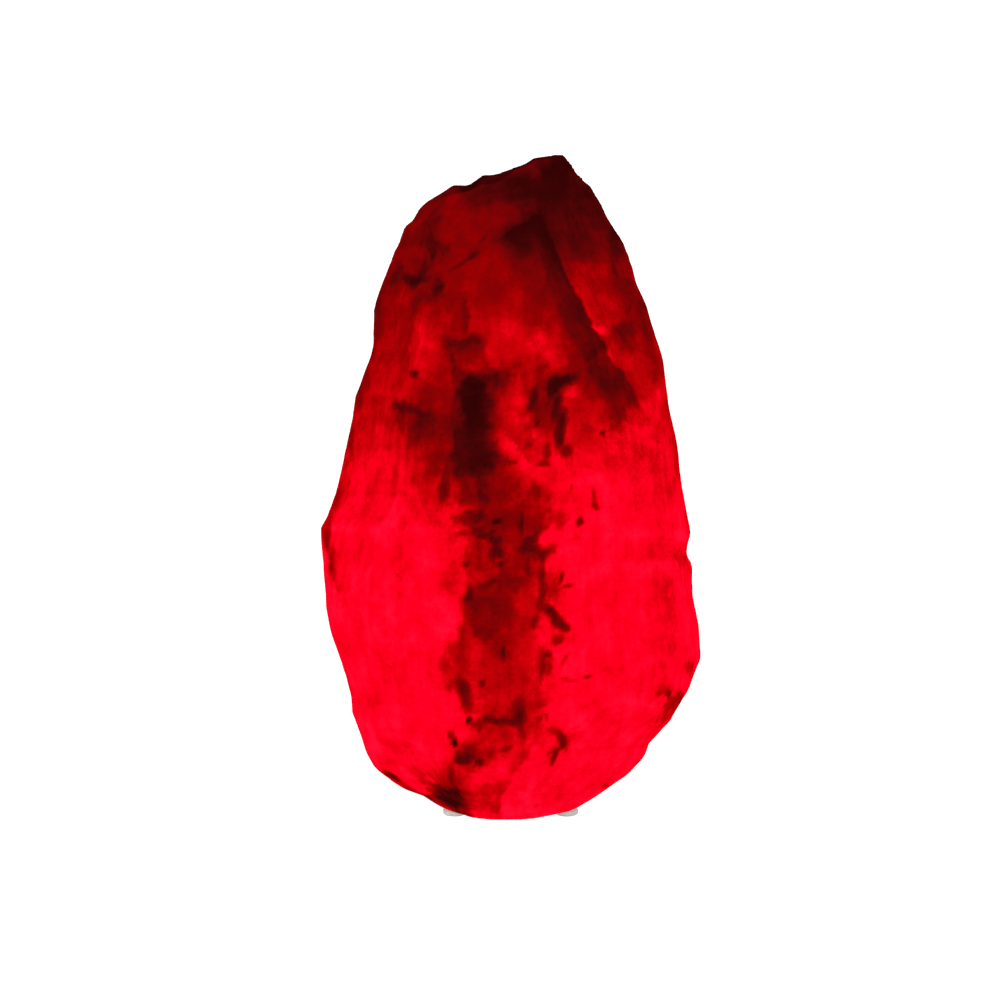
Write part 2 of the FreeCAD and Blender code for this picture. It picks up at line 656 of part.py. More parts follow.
def holder_shell():
    """The upper half: it screws onto the cap's neck and holds the insert down by a shoulder."""
    body = new_body("holder_shell", SHELL_SEAT)
    collar, mouth = "(holder_wide / 2)", "(shell_mouth / 2)"
    shoulder = "(cap_neck_high + insert_flange)"
    revolve(body, [
        (SHELL_BORE, "0"),
        (collar, "0"),
        (collar, "shell_collar"),
        (SHELL_OUTER, "shell_collar + shell_slim"),
        (SHELL_OUTER, f"shell_high - {SHELL_EDGE}"),
        (f"{SHELL_OUTER} - {SHELL_EDGE}", "shell_high"),
        (mouth, "shell_high"),
        (mouth, shoulder),
        (SHELL_BORE, shoulder),
    ], {4: SHELL_EDGE})
    root, crest = f"({SHELL_OUTER} - shell_slim)", f"({collar} - thread_gap)"
    rib = draw(body, "XY_Plane", [
        (root, "-rib_wide / 2"),
        (crest, "-rib_wide / 4"),
        (crest, "rib_wide / 4"),
        (root, "rib_wide / 2"),
    ], lift=f"(shell_high - {SHELL_EDGE} - rib_high)")
    repeat(body, extrude(body, rib, "rib_high"), "rib_count")


def holder_insert():
    """The insulating core: a flange, a barrel round the sleeve, and terminal pockets below."""
    body = new_body("holder_insert", INSERT_SEAT)
    block = f"({CAP_NECK} - cap_wall - insert_gap * 2)"
    flange, barrel = f"({SHELL_BORE} - insert_gap)", "(shell_mouth / 2 - insert_gap)"
    hole, well = f"({SLEEVE_BORE} + sleeve_wall + thread_gap * 2)", "(well_wide / 2)"
    revolve(body, [
        ("0", "-insert_below"),
        (block, "-insert_below"),
        (block, "0"),
        (flange, "0"),
        (flange, "insert_flange"),
        (barrel, "insert_flange"),
        (barrel, "insert_flange + insert_barrel"),
        (hole, "insert_flange + insert_barrel"),
        (hole, "sleeve_floor"),
        (well, "sleeve_floor"),
        (well, WELL_FLOOR),
        ("0", WELL_FLOOR),
    ])
    for side in (-1, 1):
        place = f"({side} * terminal_place)"
        pocket = oblong(place, "0", "terminal_wide / 2 + thread_gap", "terminal_deep / 2 + thread_gap")
        sink(body, draw(body, "XY_Plane", pocket, lift="-insert_below"), "terminal_high")
        reach = "(terminal_head_wide / 2 + thread_gap)"
        hole = draw_hole(body, "XZ_Plane", place, "terminal_high / 2 - insert_below", reach)
        sink(body, hole, "holder_wide / 2")
    for leg in (END_LEG, SIDE_LEG):
        slot = oblong(leg, "0", "contact_thick / 2 + thread_gap", "contact_wide / 2 + thread_gap")
        sink(body, draw(body, "XY_Plane", slot, lift=TERMINAL_TOP), f"sleeve_floor - {TERMINAL_TOP}")


def thread_sleeve():
    """The brass sleeve that the bulb screws into; its turned-out rim rests on the barrel."""
    inner, outer = SLEEVE_BORE, f"({SLEEVE_BORE} + sleeve_wall)"
    foot, top = "contact_thick", "(insert_flange + insert_barrel - sleeve_floor)"
    turned("thread_sleeve", f"({INSERT_SEAT} + sleeve_floor)", [
        (inner, foot),
        (outer, foot),
        (outer, top),
        ("sleeve_rim_wide / 2", top),
        ("sleeve_rim_wide / 2", f"{top} + sleeve_wall"),
        (inner, f"{top} + sleeve_wall"),
    ])


def side_contact():
    """The ring under the sleeve, with a leg down to its terminal."""
    body = new_body("side_contact", f"({INSERT_SEAT} + sleeve_floor)")
    inner, outer = "(well_wide / 2 + thread_gap)", f"({SLEEVE_BORE} + sleeve_wall)"
    revolve(body, [(inner, "0"), (outer, "0"), (outer, "contact_thick"), (inner, "contact_thick")])
    leg = oblong(SIDE_LEG, "0", "contact_thick / 2", "contact_wide / 2")
    drop = f"sleeve_floor - {TERMINAL_TOP}"
    extrude(body, draw(body, "XY_Plane", leg, lift=f"{TERMINAL_TOP} - sleeve_floor"), drop)


def end_contact():
    """The folded spring strip under the bulb, with a leg down to its terminal."""
    body = new_body("end_contact", f"({INSERT_SEAT} + {WELL_FLOOR})")
    left, right = f"({END_LEG} - contact_thick / 2)", "(well_wide / 4)"
    fold, inside = "(contact_high / 2)", "(contact_high / 2 - contact_thick)"
    leaf, foot = "(-eyelet_wide / 2)", f"({TERMINAL_TOP} - {WELL_FLOOR})"
    strip = draw(body, "XZ_Plane", [
        (left, foot),
        (f"{left} + contact_thick", foot),
        (f"{left} + contact_thick", "0"),
        (right, "0"),
        (f"{right} + {fold}", fold),
        (right, "contact_high"),
        (leaf, "contact_high"),
        (leaf, "contact_high - contact_thick"),
        (right, "contact_high - contact_thick"),
        (f"{right} + {inside}", fold),
        (right, "contact_thick"),
        (left, "contact_thick"),
    ], {3: fold, 4: fold, 8: f"-{inside}", 9: f"-{inside}"})
    extrude(body, strip, "contact_wide", both_ways=True)


def terminal_blocks():
    """Two brass terminals in the insert's pockets, each cross-drilled for its screw."""
    blocks = []
    for side in (-1, 1):
        block = doc.addObject("Part::Box", "terminal")
        bind(block, "Length", "terminal_wide")
        bind(block, "Width", "terminal_deep")
        bind(block, "Height", "terminal_high")
        bind(block, "Placement.Base.x", f"{side} * terminal_place - terminal_wide / 2")
        bind(block, "Placement.Base.y", "-terminal_deep / 2")
        bind(block, "Placement.Base.z", f"{INSERT_SEAT} - insert_below")
        hole = screw_rod("terminal_hole", side, "terminal_screw_wide / 2 + thread_gap", "0", "terminal_deep")
        blocks.append(cut(block, hole, "drilled_terminal"))
    pair = doc.addObject("Part::Compound", "terminals")
    pair.Links = blocks
    keep(pair, "terminal_blocks")


def screw_rod(name, side, radius, start, length):
    """A rod along a terminal screw's axis, from start forward."""
    rod = doc.addObject("Part::Cylinder", name)
    bind(rod, "Radius", radius)
    bind(rod, "Height", length)
    middle = f"{INSERT_SEAT} - insert_below + terminal_high / 2"
    spot = f"create(<<vector>>; {side} * terminal_place; -({start}); {middle})"
    bind(rod, "Placement", f"create(<<placement>>; {spot}; create(<<rotation>>; 0; 0; 90))")
    return rod


def terminal_screws():
    """Two cheese-headed screws, one in each terminal."""
    screws = []
    head_wide, face = "terminal_head_wide / 2", "terminal_deep / 2"
    for side in (-1, 1):
        shank = screw_rod("shank", side, "terminal_screw_wide / 2", "0", face)
        head = screw_rod("head", side, head_wide, face, head_wide)
        screw = doc.addObject("Part::Fuse", "screw")
        screw.Base, screw.Tool = shank, head
        screws.append(screw)
    pair = doc.addObject("Part::Compound", "screws")
    pair.Links = screws
    keep(pair, "terminal_screws")


# --- the bulb ----------------------------------------------------------------------------------

def bulb_end_contact():
    """The soldered contact at the bulb's end, which the folded strip presses on."""
    rim = "(eyelet_wide / 2)"
    turned("bulb_end_contact", BULB_SEAT, [
        ("0", "0"), (rim, "0"), (rim, "eyelet_high"), ("0", "eyelet_high"),
    ])


def cap_insulator():
    """The black glass between the end contact and the cap."""
    foot, rim = "(glass_seal_wide / 2)", "(cap_thread_wide / 2 - cap_sheet - thread_gap)"
    top = "(eyelet_high + glass_seal_high)"
    turned("cap_insulator", BULB_SEAT, [
        ("0", "eyelet_high"), (foot, "eyelet_high"), (rim, CAP_FOOT), (rim, top), ("0", top),
    ])


def bulb_cap():
    """The bulb's metal cap: a sleeve for the thread that flares into a skirt round the glass."""
    thread, skirt = "(cap_thread_wide / 2)", "(skirt_wide / 2)"
    top = f"({GLASS_FOOT} + skirt_high)"
    turned("bulb_cap", BULB_SEAT, [
        (f"{thread} - cap_sheet", CAP_FOOT),
        (thread, CAP_FOOT),
        (thread, SKIRT_FOOT),
        (skirt, GLASS_FOOT),
        (skirt, top),
        (f"{skirt} - cap_sheet", top),
        (f"{skirt} - cap_sheet", GLASS_FOOT),
        (f"{thread} - cap_sheet", SKIRT_FOOT),
    ])


def bulb_glass():
    """The blown envelope: a neck in the skirt, a straight tube and a half-round end."""
    neck, outer = "(glass_neck_wide / 2)", "(glass_wide / 2)"
    shoulder, swell = f"({GLASS_FOOT} + glass_neck_high)", f"({outer} - {neck})"
    straight, dome = f"({shoulder} + glass_shoulder)", f"({shoulder} + glass_shoulder + glass_straight)"
    # a round that starts out of the neck and ends upright on the tube
    swell_round = f"((pow({swell}; 2) + pow(glass_shoulder; 2)) / (2 * {swell}))"
    turned("bulb_glass", BULB_SEAT, [
        (f"{neck} - glass_wall", GLASS_FOOT),
        (neck, GLASS_FOOT),
        (neck, shoulder),
        (outer, straight),
        (outer, dome),
        ("0", f"{dome} + {outer}"),
        ("0", f"{dome} + {outer} - glass_wall"),
        (f"{outer} - glass_wall", dome),
        (f"{outer} - glass_wall", straight),
        (f"{neck} - glass_wall", shoulder),
    ], {2: swell_round, 4: outer, 6: f"-({outer} - glass_wall)", 8: f"-{swell_round}"})


def glass_stem():
    """The inner glass that carries the wires, flared at its foot to meet the neck."""
    rim, stem = "(glass_neck_wide / 2 - glass_wall - thread_gap)", "(stem_wide / 2)"
    turned("glass_stem", BULB_SEAT, [
        ("0", GLASS_FOOT),
        (rim, GLASS_FOOT),
        (rim, f"{GLASS_FOOT} + stem_foot"),
        (stem, f"{GLASS_FOOT} + stem_foot + {rim} - {stem}"),
        (stem, f"{STEM_TOP} - stem_wide / 4"),
        (f"{stem} / 2", STEM_TOP),
        ("0", STEM_TOP),
    ])


def wires(node, turns, root, wide):
    """Thin straight wires that lean out from the stem to the filament."""
    rods = []
    out, up = f"(filament_reach - {root})", "(wire_high - filament_wide)"
    for turn in turns:
        rod = doc.addObject("Part::Cylinder", "wire")
        bind(rod, "Radius", f"{wide} / 2")
        bind(rod, "Height", f"hypot({out}; {up})")
        start = f"{BULB_SEAT} + {STEM_TOP} + {wide} / 2"
        spot = f"create(<<vector>>; {root} * cos({turn}); {root} * sin({turn}); {start})"
        lean = f"create(<<rotation>>; {turn}; atan({out} / {up}); 0)"
        bind(rod, "Placement", f"create(<<placement>>; {spot}; {lean})")
        rods.append(rod)
    group = doc.addObject("Part::Compound", node)
    group.Links = rods
    keep(group, node)


def filament():
    """The coiled wire, as a half ring from one lead wire round the supports to the other."""
    coil = doc.addObject("Part::Torus", "filament")
    bind(coil, "Radius1", "filament_reach")
    bind(coil, "Radius2", "filament_wide / 2")
    coil.Angle3 = 180
    bind(coil, "Placement.Base.z", f"{BULB_SEAT} + {FILAMENT}")
    keep(coil, "filament")


def check():
    """Stops if anything in the document failed, or a piece isn't a sound solid."""
    failed = [item.Label for item in doc.Objects if {"Invalid", "Error"} & set(item.State)]
    if failed:
        raise RuntimeError(f"failed: {failed}")
    for piece in PIECES:
        shape = piece.Shape
        if shape.isNull() or not shape.isValid() or not shape.Solids or shape.Volume <= 0:
            raise RuntimeError(f"{piece.Label} is not a sound solid")


salt_crystal()
CORNERS = ["back_right", "back_left", "front_left", "front_right"]
for number, corner in enumerate(CORNERS):
    foot(f"foot_{corner}", f"(foot_turn + {number} / {len(CORNERS)} * 360)")
for make in (
    cover_plate, spring_clip, nipple, nipple_nut, lock_washer, cord_bush,
    holder_cap, cap_screw, holder_shell, holder_insert, thread_sleeve,
    side_contact, end_contact, terminal_blocks, terminal_screws,
    bulb_end_contact, cap_insulator, bulb_cap, bulb_glass, glass_stem,
):
    make()
wires("lead_wires", (0, 180), "wire_root", "lead_wide")
wires("support_wires", (60, 120), "(wire_root / 2)", "support_wide")
filament()

doc.recompute()
check()
os.makedirs("parts", exist_ok=True)
for piece in PIECES:
    piece.Shape.exportStep(f"parts/{piece.Label}.step")
    box = piece.Shape.BoundBox
    print(f"{piece.Label:18} {len(piece.Shape.Solids)} {piece.Shape.Volume:12.2f} mm3"
          f"  x {box.XMin:7.2f} {box.XMax:7.2f}  y {box.YMin:7.2f} {box.YMax:7.2f}"
          f"  z {box.ZMin:7.2f} {box.ZMax:7.2f}")
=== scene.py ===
import math

import bmesh
import bpy
import numpy as np
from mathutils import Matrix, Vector, noise


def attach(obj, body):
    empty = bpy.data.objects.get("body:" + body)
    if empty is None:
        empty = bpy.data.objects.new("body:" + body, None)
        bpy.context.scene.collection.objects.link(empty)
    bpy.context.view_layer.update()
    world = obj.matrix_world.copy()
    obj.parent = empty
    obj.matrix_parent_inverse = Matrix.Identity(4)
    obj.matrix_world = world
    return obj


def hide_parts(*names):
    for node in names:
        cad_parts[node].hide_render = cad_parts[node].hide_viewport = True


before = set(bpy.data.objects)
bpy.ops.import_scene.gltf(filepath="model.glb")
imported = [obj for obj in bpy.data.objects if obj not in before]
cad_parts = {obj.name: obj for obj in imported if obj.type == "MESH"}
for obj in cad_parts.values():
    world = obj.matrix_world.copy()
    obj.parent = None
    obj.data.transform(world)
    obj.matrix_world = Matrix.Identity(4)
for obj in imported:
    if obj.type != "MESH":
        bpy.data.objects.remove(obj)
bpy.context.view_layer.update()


# --- The photograph's view -----------------------------------------------------------------------
# The lamp was photographed from its front and a little above, from far enough away that its
# sides stay upright. At the lamp, one pixel of the photograph is 0.35 mm.

PIXEL = 0.0003494                        # metres at the lamp
LAMP_MIDDLE = (-0.0037, 0.0, 0.1081)     # what the middle of the photograph shows
LOOK_DOWN = math.radians(12)
LENS, SENSOR = 135.0, 36.0               # millimetres

distance = 1000 * PIXEL * LENS / SENSOR
camera_data = bpy.data.cameras.new("camera")
camera_data.lens, camera_data.sensor_width = LENS, SENSOR
camera_data.clip_start = 0.01
camera = bpy.data.objects.new("camera", camera_data)
bpy.context.scene.collection.objects.link(camera)
camera.rotation_euler = (math.pi / 2 - LOOK_DOWN, 0, 0)
camera.location = Vector(LAMP_MIDDLE) + distance * Vector(
    (0, -math.cos(LOOK_DOWN), math.sin(LOOK_DOWN))
)
bpy.context.scene.camera = camera
bpy.context.scene.view_settings.view_transform = "Standard"


# --- The stone -----------------------------------------------------------------------------------
# One block of rock salt, split off with a chisel and washed, so that its cleaved faces and
# shell-shaped chips have soft edges. It is bored and recessed from below, with a channel at the
# back, and those walls stay as the drill and saw left them.

STONE_GRAIN = 0.00105                    # size of the mesh's squares
SOLE, RECESS_TOP, BORE_TOP = 1.5, 23.5, 123.5       # millimetres, as all that follow
RECESS_RADIUS, BORE_RADIUS = 23.0, 20.0
CHANNEL_HALF_WIDE, CHANNEL_TOP = 4.5, 11.5
# the outline, up each side: height in the photograph's plane, then distance from the bore's axis
LEFT_OUTLINE = [
    (-5, -17), (-3, -26), (1, -31), (3, -38), (11, -49), (20, -53.5), (28, -56), (37, -56.5),
    (48, -59.5), (58, -63), (67, -65), (84, -65.5), (93, -66.5), (96, -66.5), (100, -64.5),
    (108, -61.5), (120, -59), (133, -56), (142, -54.5), (155, -49.5), (161, -48), (175, -47.5),
    (187, -42.5), (198, -38), (206, -34), (208, -31.5), (213, -21), (217, -15),
]
RIGHT_OUTLINE = [
    (-5, 2), (-3.5, 21), (-1, 27), (3, 34), (9, 43.5), (15, 48.5), (20, 50), (28, 57), (39, 63),
    (51, 67), (61, 66.5), (72, 64.5), (83, 64), (86, 62), (89, 61.5), (94, 63), (105, 61),
    (125, 58), (140, 55), (155, 53), (167, 49.5), (176, 46.5), (181, 44), (190, 41), (200, 37),
    (208, 33), (214, 29), (218, 26.5),
]
# the top edge, from left to right: distance from the bore's axis, then height
TOP_OUTLINE = [
    (-15, 216.5), (-10, 220), (-4, 220), (3, 221.5), (8, 224), (19, 224.5), (23, 221), (27, 216),
]


def smooth(value, low, high):
    """0 below low, 1 above high, with a soft change between them."""
    share = np.clip((value - low) / (high - low), 0, 1)
    return share * share * (3 - 2 * share)


def copy_of(node, name):
    """A merged copy of a CAD node's mesh, as a new piece."""
    sheet = bmesh.new()
    sheet.from_mesh(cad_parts[node].data)
    bmesh.ops.remove_doubles(sheet, verts=sheet.verts, dist=1e-6)
    return piece_from(sheet, name)


def piece_from(sheet, name):
    """A bmesh as a new piece with soft shading."""
    mesh = bpy.data.meshes.new(name)
    for face in sheet.faces:
        face.smooth = True
    sheet.to_mesh(mesh)
    sheet.free()
    made = bpy.data.objects.new(name, mesh)
    bpy.context.scene.collection.objects.link(made)
    return made


def settled(made, kind, **settings):
    """Adds one modifier to a piece and applies it."""
    modifier = made.modifiers.new(kind.lower(), kind)
    for field, value in settings.items():
        setattr(modifier, field, value)
    depsgraph = bpy.context.evaluated_depsgraph_get()
    mesh = bpy.data.meshes.new_from_object(made.evaluated_get(depsgraph))
    made.modifiers.clear()
    made.data = mesh


stone = copy_of("salt_crystal", "hewn_salt_stone")
settled(stone, "REMESH", mode="VOXEL", voxel_size=STONE_GRAIN * 1)
count = len(stone.data.vertices)
spots, facing = np.empty(count * 3), np.empty(count * 3)
stone.data.vertices.foreach_get("co", spots)
stone.data.vertices.foreach_get("normal", facing)
spots, facing = spots.reshape(-1, 3) * 1000, facing.reshape(-1, 3)

# 0 on the drilled and sawn walls, 1 on the hewn skin
off_axis = np.hypot(spots[:, 0], spots[:, 1])
wall = np.where(spots[:, 2] < RECESS_TOP + 1, RECESS_RADIUS, BORE_RADIUS)
above_bore = smooth(spots[:, 2], BORE_TOP + 3, BORE_TOP + 12)
skin = np.maximum(smooth(off_axis, wall + 3, wall + 11), above_bore)
in_channel = np.abs(spots[:, 0]) < CHANNEL_HALF_WIDE + 1
in_channel &= (spots[:, 1] > 0) & (spots[:, 2] < CHANNEL_TOP + 1)
skin = np.where(in_channel, 0, skin)


def plane_height(at):
    """Height in the photograph's plane."""
    return at[:, 2] * math.cos(LOOK_DOWN) + at[:, 1] * math.sin(LOOK_DOWN)


# each side is moved in or out to the outline
height = plane_height(spots)
levels = np.arange(-6, 226, 2.0)
now_left = np.array([spots[np.abs(height - level) < 2, 0].min() for level in levels])
now_right = np.array([spots[np.abs(height - level) < 2, 0].max() for level in levels])
wanted_left = np.interp(levels, *zip(*LEFT_OUTLINE))
wanted_right = np.interp(levels, *zip(*RIGHT_OUTLINE))
share = smooth(spots[:, 0], -32, 32)
push = np.interp(height, levels, wanted_left - now_left) * (1 - share)
push += np.interp(height, levels, wanted_right - now_right) * share
side = np.abs(spots[:, 0] - 5) / 50
spots[:, 0] += skin * np.clip(push, -7, 7) * np.minimum(side + 0.15, 1)

# the top edge is moved up or down
near_top = smooth(plane_height(spots), 200, 218)
across = np.arange(-20, 32, 2.0)
height = plane_height(spots)
now_top = np.array([height[np.abs(spots[:, 0] - at) < 2].max() for at in across])
lift = np.interp(spots[:, 0], across, np.interp(across, *zip(*TOP_OUTLINE)) - now_top)
spots[:, 2] += near_top * np.clip(lift, -5, 5)

# cleaved faces: the direction each one faces, how far it leans up, and how deep it bites
CLEAVED = [
    (-12, 8, 0.8), (24, -6, 1.4), (52, 4, 1.2), (118, 10, 1.4), (152, -4, 1.2), (168, 16, 1.0),
    (-170, -18, 1.0), (-126, 6, 0.9), (-100, -12, 1.2), (-74, 10, 0.7), (-50, -10, 0.9), (-28, 26, 0.8),
    (80, 34, 1.2), (100, -22, 1.6), (20, 30, 1.0), (40, -30, 1.6), (140, -32, 1.6), (-150, 38, 0.9),
]
for turn, tilt, bite in CLEAVED:
    turn, tilt = math.radians(turn), math.radians(tilt)
    out = np.array([math.cos(turn) * math.cos(tilt), math.sin(turn) * math.cos(tilt), math.sin(tilt)])
    reach = spots @ out
    over = np.maximum(reach - (reach.max() - bite), 0) * skin * smooth(spots[:, 2], SOLE + 3, SOLE + 12)
    spots -= over[:, None] * out

# the skin's swells, chips, pits and grain: size across, depth, then where the pattern starts
SWELLS = [(26.0, 0.7, 3.1), (11.0, 0.32, 7.7), (4.5, 0.12, 1.3)]
clear_of_sole = smooth(spots[:, 2], SOLE + 0.5, SOLE + 7)
relief = np.zeros(count)
for size, depth, start in SWELLS:
    relief += depth * np.array([noise.noise(Vector(spot)) for spot in spots / size + start])
CHIP_SIZE, CHIP_DEPTH = 12.0, 0.5
CHIPS_START = (2.2, 5.1, 0.4)
to_chip = np.array([noise.voronoi(Vector(spot))[0][0] for spot in spots / CHIP_SIZE + CHIPS_START])
relief += CHIP_DEPTH * (to_chip ** 2 - 0.25)
spots += (relief * skin * clear_of_sole)[:, None] * facing
under_sole = (skin > 0) & (spots[:, 2] < SOLE + 0.05)
spots[:, 2] = np.where(under_sole, np.maximum(spots[:, 2], SOLE), spots[:, 2])
stone.data.vertices.foreach_set("co", (spots / 1000).ravel())
stone.data.update()

# how far each spot stands out of what surrounds it, for the material, which paints shade in the hollows
# and light on what stands out
ends = np.empty(len(stone.data.edges) * 2, int)
stone.data.edges.foreach_get("vertices", ends)
ends = ends.reshape(-1, 2)
stone.data.vertices.foreach_get("normal", facing.reshape(-1))
around = spots.copy()
for step in range(4):
    total, met = np.zeros_like(around), np.zeros(count)
    for one, other in ((0, 1), (1, 0)):
        np.add.at(total, ends[:, one], around[ends[:, other]])
        np.add.at(met, ends[:, one], 1)
    around = total / met[:, None]
proud = ((spots - around) * facing).sum(1)
proud_layer = stone.data.attributes.new("proud", "FLOAT", "POINT")
proud_layer.data.foreach_set("value", np.clip(proud * skin, -1, 1).astype(np.float32))

# The light of the bulb comes through the salt: bright and pinkish red where it is thin and clear,
# dark where clay and bubbles lie in it, and dim at the top. Inclusions, cracks and flakes were read
# off the photograph, in its pixels, and are turned into millimetres here.
MM_A_PIXEL = PIXEL * 1000
PHOTO_MIDDLE = 500                       # pixels, from the left and from the top


def in_plane(from_left, from_top):
    """A pixel of the photograph in its plane: millimetres from the bore's axis, and up."""
    across = LAMP_MIDDLE[0] * 1000 + (from_left - PHOTO_MIDDLE) * MM_A_PIXEL
    up = LAMP_MIDDLE[2] * 1000 * math.cos(LOOK_DOWN) + (PHOTO_MIDDLE - from_top) * MM_A_PIXEL
    return across, up


